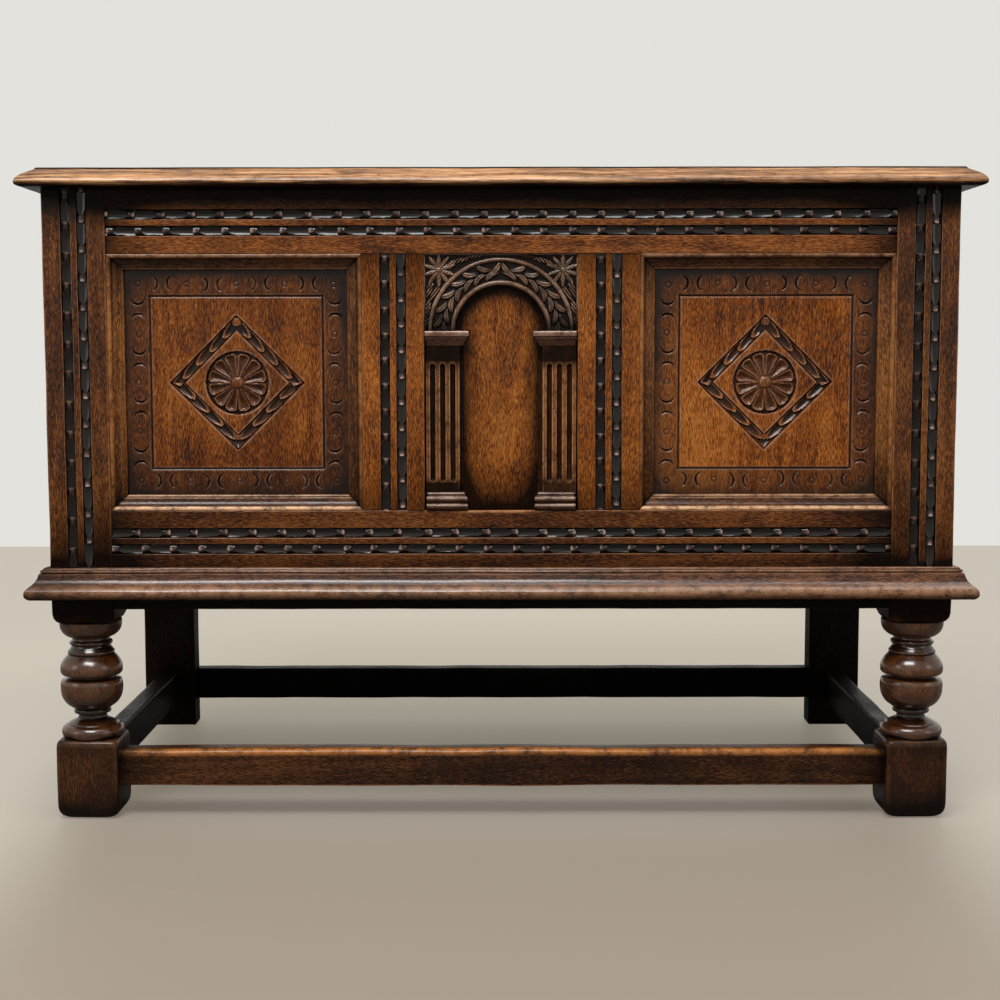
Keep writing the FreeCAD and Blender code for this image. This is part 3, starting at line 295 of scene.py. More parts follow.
class Tone:
    """A socket in a finish. Python's operators on it add Math nodes, and node() adds any other node."""

    def __init__(self, socket):
        self.socket = socket

    def node(self, kind, sockets, settings=(), out=0):
        """A node of that kind: its settings are made first, then the values or links of its sockets."""
        made = self.socket.id_data.nodes.new("ShaderNode" + kind)
        for key, setting in dict(settings).items():
            if key == "stops":
                for n, (at, colour) in enumerate(setting):
                    stop = made.color_ramp.elements[n] if n < 2 else made.color_ramp.elements.new(at)
                    stop.position, stop.color = at, colour
            else:
                setattr(made, key, setting)
        feed(made, sockets)
        return Tone(made.outputs[out])

    def maths(self, operation, *values, clamp=False):
        """A sum on values, kept between 0 and 1 by clamp."""
        return self.node("Math", dict(enumerate(values)), {"operation": operation, "use_clamp": clamp})

    def __add__(self, other):
        return self.maths("ADD", self, other)

    def __sub__(self, other):
        return self.maths("SUBTRACT", self, other)

    def __rsub__(self, other):
        return self.maths("SUBTRACT", other, self)

    def __mul__(self, other):
        return self.maths("MULTIPLY", self, other)

    __radd__, __rmul__ = __add__, __mul__

    def held(self):
        """The value kept between 0 and 1."""
        return self.maths("ADD", self, 0.0, clamp=True)

    def between(self, low, high):
        """0 below low and 1 above high, with a smooth run between them."""
        return self.node("MapRange", {0: self, 1: low, 2: high}, {"interpolation_type": "SMOOTHSTEP"})

    def noise(self, scale, detail=2.0, rough=0.5):
        """Soft random spots, about that many to the metre."""
        return self.node("TexNoise", {"Vector": self, "Scale": scale, "Detail": detail, "Roughness": rough})

    def stretched(self, by):
        """These places, multiplied by a number for each axis."""
        return self.node("VectorMath", {0: self, 1: by}, {"operation": "MULTIPLY"})

    def moved(self, by):
        """These places, shifted along each axis."""
        return self.node("VectorMath", {0: self, 1: by}, {"operation": "ADD"})

    def blend(self, share, low, high):
        """A colour between two others, of the second by that share."""
        return self.node("Mix", {0: share, 6: low, 7: high}, {"data_type": "RGBA"}, out=2)

    def layer(self, name):
        """A value that the mesh carries at its points."""
        return self.node("Attribute", {}, {"attribute_name": name}, out="Fac")


def new_finish(name):
    """A material, its shader and the place on the piece."""
    finish = bpy.data.materials.new(name)
    finish.use_nodes = True
    nodes = finish.node_tree.nodes
    return finish, nodes["Principled BSDF"], Tone(nodes.new("ShaderNodeTexCoord").outputs["Object"])


# The sizes of the marks in the wood, as how many go to the metre.
FIBRES, STREAKS, PORES, KNOCKS, RUBS, BLOTCHES, RINGS = 1400.0, 240.0, 1200.0, 62.0, 60.0, 17.0, 9.0


def oak(name, along, dark, middle, light, gloss=0.34, wax_and_shade=1.0, wear=1.0, grime_and_shade=(7, 3, 2),
        bare_and_lit=(160, 108, 68), shine=0.30, hollow=0.04, run=0.12, bold=0.4):
    """Stained and waxed oak with its grain along an axis, darker where old wax lies and where shade is
    painted, and paler where it is worn and where highlights are painted.

    dark, middle and light are its tones. The grime colour is that of old wax in the hollows and of painted
    shade, and the bare colour that of worn wood and of painted highlights. shine is the polish on the clean
    wood and hollow the polish where it is darkened. The lower run is, the longer are the fibres, and the
    higher bold is, the stronger are the broad streaks.
    """
    finish, shader, board = new_finish(name)
    seed = sum(n * ord(letter) for n, letter in enumerate(name, start=3))
    board = board.moved((seed * 0.371 % 7, seed * 0.737 % 5, seed * 0.193 % 9))
    wavy = board.stretched(tuple(0.25 if axis == along else 1.0 for axis in "xyz"))
    drift = (wavy.noise(24.0, 2.0) - 0.5) * 0.004
    board_bent = board.moved(board.node("CombineXYZ", {0: drift, 1: drift, 2: drift}))
    fibre_way = board_bent.stretched(tuple(run if axis == along else 1.0 for axis in "xyz"))

    growth = fibre_way.noise(RINGS, 1.0) * 95.0
    figure = growth.maths("SINE", growth) * 0.5 + 0.5
    fibre = fibre_way.noise(FIBRES, 1.0, 0.75)
    coarse = fibre_way.noise(STREAKS, 2.0, 0.6)
    pores = fibre_way.moved((3, 1, 2)).noise(PORES, 1.0).between(0.57, 0.67)
    stain = board.noise(BLOTCHES, 3.0, 0.6)
    handling = board.noise(4.5, 1.0)
    tone = ((fibre - 0.5) * 2.3 + (coarse - 0.5) * bold + (stain - 0.5) * 0.9 + (handling - 0.5) * 1.0
            + (figure - 0.5) * 0.18 + 0.5)
    colour = tone.node("ValToRGB", {0: tone.held()}, {"stops": [
        (0.0, paint(*dark)), (1.0, paint(*light)), (0.5, paint(*middle))]})
    colour = colour.blend(pores * 0.5, colour, paint(*(c * 0.30 for c in dark)))
    knocks = board.node("TexVoronoi", {"Vector": board, "Scale": KNOCKS}, {"feature": "F1"})
    rare = board.node("SeparateColor", {0: Tone(knocks.socket.node.outputs["Color"])})
    knock = (1 - knocks.between(0.03, 0.09)) * rare.between(0.62, 0.66)
    # The wax layer darkens the wood towards the grime colour: old wax and dust in the hollows, and painted
    # shade.
    enclosed_and_shaded = board.layer("wax_and_shade")
    sunk_and_shaded = (enclosed_and_shaded * (2.3 * wax_and_shade) + (stain - 0.5) * enclosed_and_shaded * 2.2 - 0.06).held()
    dirt_and_shade = sunk_and_shaded.maths("MAXIMUM", sunk_and_shaded * 0.96, knock * 0.85)
    colour = colour.blend(dirt_and_shade, colour, paint(*grime_and_shade))
    # The worn layer pales the wood towards the bare colour: real wear on arrises and high points, and on some
    # pieces painted highlights.
    patchy = board_bent.noise(RUBS, 4.0, 0.75).between(0.34, 0.60) * 0.85 + 0.15
    rubbed_and_lit = (board.layer("worn") * patchy * (0.75 * wear) * (1 - dirt_and_shade)).held()
    colour = colour.blend(rubbed_and_lit, colour, paint(*bare_and_lit))
    sheen = (gloss - (fibre - 0.5) * 0.25 + pores * 0.25 + (stain - 0.5) * 0.2 + dirt_and_shade * 0.08).held()
    clean = shine * 1.15 - (stain - 0.5) * 0.3 - pores * 0.08
    polish = ((1 - dirt_and_shade) * clean + dirt_and_shade * hollow + board.layer("polish")).held()
    relief = fibre * 0.4 + coarse * 0.5 - pores * 1.1 + stain * 0.8 - knock * 2.2
    bump = relief.node("Bump", {"Height": relief, "Strength": 0.55, "Distance": 0.0007})
    feed(shader, {"Base Color": colour, "Roughness": sheen, "Coat Weight": polish, "Normal": bump,
                  "Specular IOR Level": 0.03, "Coat Roughness": 0.2})
    return finish


POST_LOW, POST_HIGH = place("post_front_left")
POST = POST_HIGH[0] - POST_LOW[0]
FACE = POST_LOW[1]
TOP = POST_HIGH[2]
PLINTH_TOP = place("plinth_front")[1][2]
CHANNEL_WIDE, CHANNEL_GAP, CHANNEL_DEEP = 11, 7, 4
RUN_STEP = CHANNEL_WIDE + CHANNEL_GAP
RUNS_WIDE = CHANNEL_WIDE + RUN_STEP

# The turning from the foot up, a height and a radius at a time.
LEG = [
    [(90, 31.8), (91.6, 34), (95, 35), (99, 34.7), (102.4, 32.6), (104.4, 29.4)],  # roll
    [(104.4, 29.4), (105, 27.2)],
    [(105, 28), (106.6, 26.2), (108.6, 22), (110.6, 18), (112.6, 16)],  # dome
    [(112.6, 16), (115, 15.6), (117, 16)],  # neck
    [(117, 16), (117.2, 19), (118.2, 20.4), (121, 20.4), (122.3, 19.4), (122.6, 18.6)],  # ring
    [(122.6, 19.4), (124.4, 22.4), (128.5, 28), (133.5, 31.8), (139.5, 34.2), (146.5, 35), (152.5, 34.8),
     (156, 33.4)],  # lower half of the ball
    [(156, 33.4), (157.6, 28), (158.8, 25), (160, 25), (161, 28), (162.2, 32.8)],  # slit
    [(162.2, 32.8), (164.6, 34.7), (169, 35), (174, 34.1), (179, 31.4), (182.8, 28.2), (185.4, 25.6)],
    [(185.4, 25.6), (185.8, 24.6), (186.6, 26), (189, 26), (190, 25)],  # collar
    [(190, 25), (192, 23.6), (194, 22.2), (195.6, 21.6)],  # throat
    [(195.6, 21.6), (196.4, 22.8), (198, 24), (200, 23.7), (201, 22.2)],  # bead
    [(201, 22.2), (202.6, 20.9), (204.6, 20.7), (205.6, 21.4)],
    [(205.6, 24.2), (207.2, 27.4), (210.4, 31.2), (214.4, 33.7), (218.6, 34.8), (224, 35)],  # cup
]

# The square parts' edges from the bottom up: a height, how far the side is in, the corner's radius and wear.
FOOT = [(0, 10, 9, 0.1), (1.2, 6.6, 9, 0.2), (3.6, 3.4, 8.6, 0.2), (7.4, 1.2, 8, 0.2), (12, 0.2, 7.4, 0.1),
        (18, 0, 6.8, 0), (25, 0, 6.7, 0), (33, 0, 6.6, 0), (50, 0, 6.4, 0), (66, 0, 6.2, 0), (75, 0, 6.1, 0),
        (82, 0, 6, 0), (86.6, 0.4, 6.4, 0.5), (89, 1.5, 7.4, 0.9), (90, 3.4, 8.5, 0.8)]
SHOULDER = [(222, 8, 20, 0.2), (223.4, 4.6, 15, 0.6), (226.2, 2, 11, 0.8), (230, 0.5, 7, 0.4),
            (235, 0, 4.4, 0), (244, 0, 3, 0), (256, 0, 2.6, 0), (PLINTH_TOP - 4, 0, 2, 0)]
STILE_LAP, FOOT_MIDDLE, FOOT_REACH, INNER_STRIP = 5, 56, 46, 12
# How far down the stiles the lid's painted shadow reaches, and how far up from the plinth they darken.
LID_SHADOW_REACH, PLINTH_DARK = 52, 90
DARK_FRAME = ((18, 6, 0), (74, 36, 9), (128, 78, 36))


def grooved(wide, deep, first, front=0.9, back=0.9):
    """A section's outline with two sunk runs in its front face, its corners rounded in front and behind."""
    face = [(0, 0, front)]
    for start in (first, first + RUN_STEP):
        end = start + CHANNEL_WIDE
        face += [(start, 0), (start, CHANNEL_DEEP), (end, CHANNEL_DEEP), (end, 0)]
    return rounded(face + [(wide, 0, front), (wide, deep, back), (0, deep, back)], 0.9)


for side, turn in (("left", 1), ("right", -1)):
    middle = ((POST_LOW[0] + POST / 2) * turn, FACE + POST / 2)
    foot, shoulder = squared(middle, POST / 2, FOOT), squared(middle, POST / 2, SHOULDER)
    leg = lathe(middle, LEG)
    stile = grooved(POST, POST, (POST - RUNS_WIDE) / 2, front=2.2, back=1)
    upper = length((middle[0] - POST / 2, FACE, PLINTH_TOP - STILE_LAP), Z, X, Y,
                   TOP - PLINTH_TOP + STILE_LAP, stile)
    from_middle = np.abs(foot["points"][:, 2] - FOOT_MIDDLE) / FOOT_REACH
    foot["stain"] = 0.30 + 0.2 * np.clip(from_middle, 0, 1) ** 2
    leg["stain"], shoulder["stain"] = 0.22, 0.42
    leg["polish"], foot["polish"] = 0.75, 0.2
    x, _, z = upper["points"].T
    inner = (x - middle[0]) * turn > INNER_STRIP
    # The top of each stile is painted with the lid's shadow; the stile is also darker towards the plinth and
    # a little darker on its inner strip.
    upper["stain"] = (0.6 * fade(TOP - z, LID_SHADOW_REACH) + 0.1 * inner - 0.03
                      + 0.42 * fade(z - PLINTH_TOP, PLINTH_DARK))
    make(f"front_post_{side}", [foot, leg, shoulder, upper],
         oak(f"oak_front_post_{side}", "z", *DARK_FRAME, wear=1.1, shine=0.36), [f"post_front_{side}"])

# ---------------------------------------------------------------- back posts
# The two back posts are plain oak planks from the floor to the lid, a little rough and nearly black,
# with their lower edges broken where the chest has been dragged.

BLACK_POST = ((2, 1, 0), (12, 5, 3), (36, 20, 12))


def oblong(wide, deep, arris):
    """The outline of a plain squared section."""
    return rounded([(0, 0), (wide, 0), (wide, deep), (0, deep)], arris)


for side in ("left", "right"):
    low, high = place(f"post_back_{side}")
    wide, deep, tall = high - low
    make(f"back_post_{side}", [length(low, Z, X, Y, tall, oblong(wide, deep, 1.8), eased=2.0)],
         oak(f"oak_back_post_{side}", "z", *BLACK_POST, gloss=0.5, wear=0.5, bare_and_lit=(60, 36, 22), shine=0.08,
             hollow=0.0),
         [f"post_back_{side}"])

# ---------------------------------------------------------------- rails and muntins
# Planed oak rails join the posts with mortise and tenon, and muntins stand between them. The front ones
# have pairs of sunk runs worked in their faces. All are grooved for the panels.

TENON, STUB = 25, 8
MUNTIN_TONES = ((34, 12, 0), (112, 56, 10), (164, 98, 38))
RAIL_TONES = {
    "top_rail_front": ((28, 10, 0), (102, 52, 16), (154, 92, 42)),
    "bottom_rail_front": ((14, 5, 1), (66, 31, 9), (122, 72, 32)),
    "muntin_front_left": MUNTIN_TONES,
    "muntin_front_right": MUNTIN_TONES,
}
RAIL_RUNS = {"top_rail_front": 19.5, "bottom_rail_front": 62.5}
LONG_RAIL_DARK, SHORT_DARK, LID_SHADE = 62, 60, 36
SILL_HALF, SILL_HIGH, SILL_DEEP = 42, 1.3, 1.5


def from_end(part, axis, low, high):
    """How far each point of a part is from the nearer end of its piece."""
    at = part["points"][:, axis]
    return np.minimum(at - low[axis], high[axis] - at)


for node in sorted(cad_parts):
    if not ("rail" in node or "muntin" in node):
        continue
    low, high = place(node)
    tones = RAIL_TONES.get(node, DARK_FRAME)
    if "muntin" in node:
        long, along = 2, "z"
        low[2], high[2] = low[2] + STUB, high[2] - STUB
    else:
        long = 0 if node.endswith(("front", "back")) else 1
        along = "xy"[long]
        low[long], high[long] = low[long] + TENON, high[long] - TENON
    size = high - low
    if node in RAIL_RUNS:
        part = length(low, X, Z, Y, size[0], grooved(size[2], size[1], RAIL_RUNS[node]))
    elif node.startswith("muntin_front"):
        part = length(low, Z, X, Y, size[2], grooved(size[0], size[1], (size[0] - RUNS_WIDE) / 2))
    else:
        axes = [axis for n, axis in enumerate((X, Y, Z)) if n != long]
        across, up = (size[n] for n in range(3) if n != long)
        part = length(low, (X, Y, Z)[long], *axes, size[long], oblong(across, up, 1.1))
    to_end = from_end(part, long, low, high)
    part["stain"] = 0.40 * fade(to_end, LONG_RAIL_DARK) if long == 0 else 0.30 * fade(to_end, SHORT_DARK)
    if node == "top_rail_front":
        # The top of the rail is painted with the lid's shadow.
        part["stain"] += 0.6 * fade(TOP - part["points"][:, 2], LID_SHADE)
    if node == "bottom_rail_front":
        x, y, z = part["points"].T
        part["stain"] += 0.3 * (z < PLINTH_TOP - 20) + 0.14 * (z < PLINTH_TOP + 16)
        # Under the arch its upper edge is a sill with a painted highlight: lighter and paler along its top.
        sill = (z > high[2] - SILL_HIGH) & (y < FACE + SILL_DEEP) & (np.abs(x) < SILL_HALF)
        part["stain"] -= 0.6 * sill
        part["worn"] = part["worn"] + 1.6 * sill
    make("joined_" + node, [part], oak("oak_" + node, along, *tones), [node])

# ---------------------------------------------------------------- carved runs
# The sunk runs are filled with gouge work: short raised tongues with a steep end, between long scoops
# that start in a fork and deepen. The scoops are stained black and the tongues are rubbed pale on top.

CARVED_TONES = ((20, 9, 5), (66, 35, 23), (112, 74, 54))
TONGUE, FORK, SCOOP_DEEP = 0.17, 0.22, 3.0


def rise(distance, reach):
    """0 at no distance, growing evenly to 1 at reach."""
    return np.clip(distance / reach, 0, 1)


def relief(x, z, y, back, wax_and_shade, worn):
    """A carved face to the front as a closed plate: grids of places and a flat back."""
    rows, columns = x.shape
    number = np.arange(rows * columns).reshape(rows, columns)
    low, high = rows * columns + np.arange(columns), (rows + 1) * columns + np.arange(columns)
    cells = number[:-1, :-1], number[:-1, 1:], number[1:, 1:], number[1:, :-1]
    quads = [np.stack(cells, -1).reshape(-1, 4)]
    for edge, foot in ((number[0], low), (number[-1], high)):
        quads.append(np.stack([edge[:-1], edge[1:], foot[1:], foot[:-1]], -1))
    quads.append(np.stack([low[:-1], low[1:], high[1:], high[:-1]], -1))
    faces = np.concatenate(quads).tolist()
    for end in (0, -1):
        faces.append([int(low[end]), *number[:, end].tolist(), int(high[end])])
    rim = [np.stack([x[row], np.full(columns, back), z[row]], 1) for row in (0, -1)]
    points = np.concatenate([np.stack([x.ravel(), y.ravel(), z.ravel()], 1), *rim])
    pad = np.zeros(2 * columns)
    return {"points": points, "faces": faces, "wax_and_shade": np.concatenate([wax_and_shade.ravel(), pad + 1]),
            "worn": np.concatenate([worn.ravel(), pad])}


def scoops(share, across, deep):
    """Height and blackness of the gouge work: share runs from one tongue's steep end to the next."""
    side = np.abs(across)
    flank = rise(side, 0.95)
    round_back = -0.2 - 2.9 * flank ** 2.3 - 5.5 * share
    start = TONGUE + FORK * side ** 1.1
    ahead = rise(share - start, 1 - start)
    cut = -0.9 - (deep - 0.5) * (1 - (1 - ahead) ** 2.2) * (1 - 0.8 * across ** 2)
    height = np.where(share < start, round_back, np.minimum(cut, -0.2 - 2.9 * flank ** 6))
    black = np.where(share < start, rise(-round_back - 0.6, 1.1) * 0.9, 1)
    return height, black * (1 - 0.85 * fade(np.abs(share - start), 0.035))


def gouged_run(long, pitch, phase, way, seed):
    """Places along a run, and its grids of heights and of how black each place is."""
    draw = np.random.default_rng(seed)
    cuts = (np.arange(-1, int(long / pitch) + 3) + phase) * pitch
    cuts = cuts + draw.normal(0, pitch * 0.022, len(cuts))
    shares = np.concatenate([np.linspace(0, 0.5, 26), np.linspace(0.56, 0.94, 6), [0.97, 0.99, 0.998]])
    across = np.linspace(-1, 1, 19)[:, None]
    marks, heights, blacks = [], [], []
    for start, end in zip(cuts, cuts[1:]):
        marks.append(start + shares * (end - start))
        nose = 0.10 * across ** 2
        drift = (shares * draw.uniform(0.94, 1.06))[None, :] - nose
        drift = np.where(drift < 0, 1 + drift, np.clip(drift, 0, 1))
        height, black = scoops(drift, across + draw.normal(0, 0.06), SCOOP_DEEP * draw.uniform(0.86, 1.06))
        heights.append(height)
        blacks.append(black)
    marks = np.concatenate(marks)
    inside = (marks > 0.05) & (marks < long - 0.05)
    marks = np.concatenate([[0], marks[inside], [long]])
    heights, blacks = (np.concatenate(each, 1)[:, inside] for each in (heights, blacks))
    heights, blacks = (np.concatenate([each[:, :1], each, each[:, -1:]], 1) for each in (heights, blacks))
    if way < 0:
        marks, heights, blacks = long - marks[::-1], heights[:, ::-1], blacks[:, ::-1]
    return marks, heights, blacks


def carved_run(x, z, long, upright, pitch, steep, way, seed):
    """A carved run set in its channel, whose lowest corner is at x, z. One tongue's steep end is at steep."""
    off = steep - (z if upright else x)
    phase = (off if way > 0 else long - off) / pitch % 1
    marks, heights, blacks = gouged_run(long, pitch, phase, way, seed)
    spread = np.linspace(0.05, CHANNEL_WIDE - 0.05, heights.shape[0])[:, None] + 0 * marks[None, :]
    along = marks[None, :] + 0 * spread
    tongue = np.clip(1 - 2.2 * blacks, 0, 1)
    xs, zs = (x + spread, z + along) if upright else (x + along, z + spread)
    return relief(xs, zs, FACE - heights, FACE + CHANNEL_DEEP + 0.4, blacks * 0.9, tongue)


LEFT_IN, BOTTOM_RAIL, TOP_RAIL = POST_LOW[0] + POST, place("bottom_rail_front"), place("top_rail_front")
OPEN_LOW, OPEN_HIGH = BOTTOM_RAIL[1][2], TOP_RAIL[0][2]
MUNTIN_LEFT, MUNTIN_RIGHT = (place(f"muntin_front_{side}")[0][0] for side in ("left", "right"))
MUNTIN = 68.5
carving = oak("oak_carving", "x", *CARVED_TONES, wear=1.1, bare_and_lit=(168, 142, 130), grime_and_shade=(18, 16, 15),
              gloss=0.26, shine=0.55, hollow=0.5)
seed = 0
for name, rail, repeats in (
        ("top", TOP_RAIL, ((-212.0, 31.85), (-239.2, 32.25))),
        ("bottom", BOTTOM_RAIL, ((-370.8, 32.0), (-402.8, 32.5)))):
    for row, (steep, pitch) in enumerate(repeats):
        seed += 1
        start = rail[0][2] + RAIL_RUNS[f"{name}_rail_front"] + row * RUN_STEP
        part = carved_run(LEFT_IN, start, -2 * LEFT_IN, False, pitch, steep, (1, -1)[row], seed)
        make(f"carved_run_{name}_{('lower', 'upper')[row]}", [part],
             carving, smooth=55, uneven=0)
for name, low_x, wide, low_z, high_z, repeats in (
        ("post_left", POST_LOW[0], POST, PLINTH_TOP, TOP, ((312.5, 32.7), (314.3, 32.4))),
        ("post_right", -LEFT_IN, POST, PLINTH_TOP, TOP, ((313.0, 32.3), (313.3, 32.2))),
        ("muntin_left", MUNTIN_LEFT, MUNTIN, OPEN_LOW, OPEN_HIGH, ((382.8, 28.0), (355.6, 28.5))),
        ("muntin_right", MUNTIN_RIGHT, MUNTIN, OPEN_LOW, OPEN_HIGH, ((383.1, 27.9), (356.9, 28.1)))):
    for row, (steep, pitch) in enumerate(repeats):
        seed += 1
        start = low_x + (wide - RUNS_WIDE) / 2 + row * RUN_STEP
        part = carved_run(start, low_z, high_z - low_z, True, pitch, steep, (-1, 1)[row], seed)
        part["worn"] = part["worn"] * (0.35 if row == 0 and wide == POST else 1)
        make(f"carved_run_{name}_{('a', 'b')[row]}", [part],
             carving, smooth=55, uneven=0)

# ---------------------------------------------------------------- plain panels
# Thin oak boards stand loose in the grooves of the frame, at the sides, the back and behind the arch.
# The board behind the arch is painted with shade under the arch and beside the shafts, and it darkens towards
# its foot.

PANEL_TONES = ((44, 16, 2), (126, 66, 16), (172, 108, 44))
NICHE_SPRING, NICHE_SHADE = OPEN_HIGH - 85, 0.42
for node in sorted(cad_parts):
    if not node.startswith("panel_") or "front_left" in node or "front_right" in node or "trim" in node:
        continue
    low, high = place(node)
    wide, deep, tall = high - low
    tones = PANEL_TONES if node == "panel_front_centre" else DARK_FRAME
    part = length(low, Z, X, Y, tall, oblong(wide, deep, 0.6))
    if node == "panel_front_centre":
        across, up = np.meshgrid(np.linspace(low[0], high[0], 61), np.linspace(low[2], high[2], 101))
        # Painted shade under the arch and beside the shafts, and darker towards the foot of the board.
        beside = rise(np.abs(across) - 18, 27) ** 1.4
        arched = rise(np.hypot(across, up - NICHE_SPRING) - 22, 26) ** 1.4
        shaded = NICHE_SHADE * np.where(up > NICHE_SPRING, arched, beside)
        shaded += NICHE_SHADE * fade(up - OPEN_LOW, 62) ** 1.4
        part = relief(across, up, low[1] + 0 * up, high[1], shaded, 0 * up)
    make("fielded_" + node, [part], oak("oak_of_" + node, "z", *tones, wax_and_shade=1.25),
         [node])

# ---------------------------------------------------------------- carved front panels
# Each square panel is carved from one board: stamped crescents and rings round a cut line, a sunk
# diamond of gouge work, and in its middle a rosette of twelve hollow petals round a button.

CARVED_PANEL_TONES = {"left": ((36, 12, 0), (106, 52, 11), (156, 94, 38)),
                      "right": ((42, 14, 0), (126, 64, 14), (172, 106, 44))}
CARVED_HALF, LINE, LINE_HALF, LINE_DEEP = 126.5, 96.0, 1.5, 1.5
STAMP_PITCH, STAMP_AT, CRESCENT, CRESCENT_DEEP = 54.5, 109.5, 8.2, 2.0
RING, RING_HALF, RING_DEEP = 2.9, 0.95, 0.8
DIAMOND_OUT, DIAMOND_IN, SCALE_PITCH, SCALE_DEEP, GROOVE_DEEP = 75.0, 58.5, 15.0, 3.0, 2.8
PETALS, PETAL_TIP, PETAL_END, ROSETTE, BUTTON, DISH = 12, 27.0, 6.2, 34.8, 6.9, -4.0


def blurred(grid, cells):
    """A grid of heights with each cell taken to the mean of those around it."""
    for axis in (0, 1):
        ends = [(cells, cells) if n == axis else (0, 0) for n in (0, 1)]
        wide = np.pad(grid, ends, mode="edge")
        grid = sum(np.take(wide, range(k, k + grid.shape[axis]), axis) for k in range(2 * cells + 1))
        grid = grid / (2 * cells + 1)
    return grid


def domed(share):
    """Height of a half round, 1 at its middle and 0 where share is 1 or more."""
    return np.sqrt(np.clip(1 - share ** 2, 0, 1))


def stamp_border(x, z, height, black, draw):
    """The height and blackness of a panel once its crescents and rings are stamped outside the cut line."""
    for a, b in ((x, z), (z, -x), (-x, -z), (-z, x)):
        for n in (-1.5, -0.5, 0.5, 1.5):
            at, off = n * STAMP_PITCH + draw.normal(0, 0.8), STAMP_AT + draw.normal(0, 0.7)
            for way in (-1, 1):
                u, v = (a - at) * way, b - off
                outer = np.hypot(u - CRESCENT - 4.2, v) - CRESCENT
                inner = np.hypot(u - CRESCENT - 7.0, v) - CRESCENT - 0.5
                moon = np.clip(np.minimum(-outer, inner) + 0.25, 0, 1) * (u < CRESCENT + 6)
                strength = draw.uniform(0.75, 1.1)
                height = height - CRESCENT_DEEP * moon * strength
                black = np.maximum(black, moon * 0.8 * strength)
            between = ((a - at) / 10) ** 2 + ((b - off) / 11) ** 2
            black = np.maximum(black, 0.2 * np.exp(-between))
        for n in (-2, -1, 0, 1):
            u, v = a - n * STAMP_PITCH - draw.normal(0, 0.7), b - STAMP_AT - draw.normal(0, 0.6)
            ring = fade(np.abs(np.hypot(u, v) - RING), RING_HALF)
            height = height - RING_DEEP * ring
            black = np.maximum(black, ring * 0.6)
    return height, black


def cut_diamond(x, z, height, black):
    """The height and blackness of a panel once its diamond band of overlapping scales is cut."""
    reach = np.abs(x) + np.abs(z)
    band = (reach > DIAMOND_IN) & (reach < DIAMOND_OUT)
    across = (reach - (DIAMOND_IN + DIAMOND_OUT) / 2) / ((DIAMOND_OUT - DIAMOND_IN) / 2)
    run = np.where(z > 0, (np.abs(x) - 0.7) / SCALE_PITCH, (-z - 3.3) / SCALE_PITCH)
    inner = np.abs(across) / 0.80
    share = 1 - (run + 0.42 * np.minimum(inner, 1) ** 2 - 0.02) % 1.0
    lip, ahead = fade(share - 0.05, 0.2), rise(share - 0.05, 0.95)
    scale = -0.5 - SCALE_DEEP * domed(inner) * (1 - (1 - ahead) ** 1.9)
    top_end, low_end = np.hypot(x / 5.4, (z - 67.4) / 4.6) < 1, np.hypot(x, z + 61) < 3.2
    scale = np.where(top_end, -0.4 - 0.06 * x ** 2, scale)
    scale = np.where(low_end, -0.6, scale)
    groove = np.maximum(rise(inner - 1, 0.08), (np.abs(x) < 6) & (z > 0)) * ~(top_end | low_end)
    scale = scale * (1 - groove) - GROOVE_DEEP * groove
    stained = rise(-scale - 0.6, 1.2) * (1 - lip * 0.5)
    stained = np.maximum(np.maximum(stained, 0.22), groove)
    stained = np.where(top_end | low_end, 0.3, stained)
    return np.where(band, scale, height), np.where(band, stained, black)


def cut_rosette(x, z, height, black):
    """The height and blackness of a panel once the rosette in its middle is cut."""
    radius, angle = np.hypot(x, z), np.arctan2(z, x)
    share = angle * PETALS / (2 * math.pi)
    turn = (share - np.floor(share) - 0.5) * 2
    tip = np.clip(radius - PETAL_TIP, 0, None) / PETAL_END
    end = (tip ** 2.8 + np.abs(turn) ** 2.8) ** (1 / 2.8)
    hollow, groove = 1 - rise(end, 0.80) ** 2, rise(end - 0.87, 0.13)
    petal = -0.4 - (0.6 + 2.4 * rise(radius - 8, 15)) * hollow - groove * 3.4
    petal = np.where(end > 1, DISH, petal)
    dish, button = radius < ROSETTE, radius < BUTTON
    height = np.where(dish, petal, height)
    black = np.where(dish, np.clip(0.48 + 0.9 * groove + 0.40 * hollow, 0, 1), black)
    black = np.where(dish & (end > 1), 1.0, black)
    dome = 1 - (radius / BUTTON) ** 2
    height = np.where(button, -1.6 + 3.2 * np.sqrt(np.clip(dome, 0, 1)), height)
    black = np.where(button, np.clip(0.9 - dome * 3, 0.3, 0.9), black)
    ring = fade(np.abs(radius - ROSETTE - 0.3), 1.1)
    return height - ring * 0.6, np.maximum(black, ring)


def panel_heights(x, z, seed):
    """Heights of the carved panel over its face, and how black each place is stained."""
    cut = fade(np.abs(np.maximum(np.abs(x), np.abs(z)) - LINE), LINE_HALF)
    height, black = stamp_border(x, z, -LINE_DEEP * cut, cut ** 0.5, np.random.default_rng(seed))
    return cut_rosette(x, z, *cut_diamond(x, z, height, black))


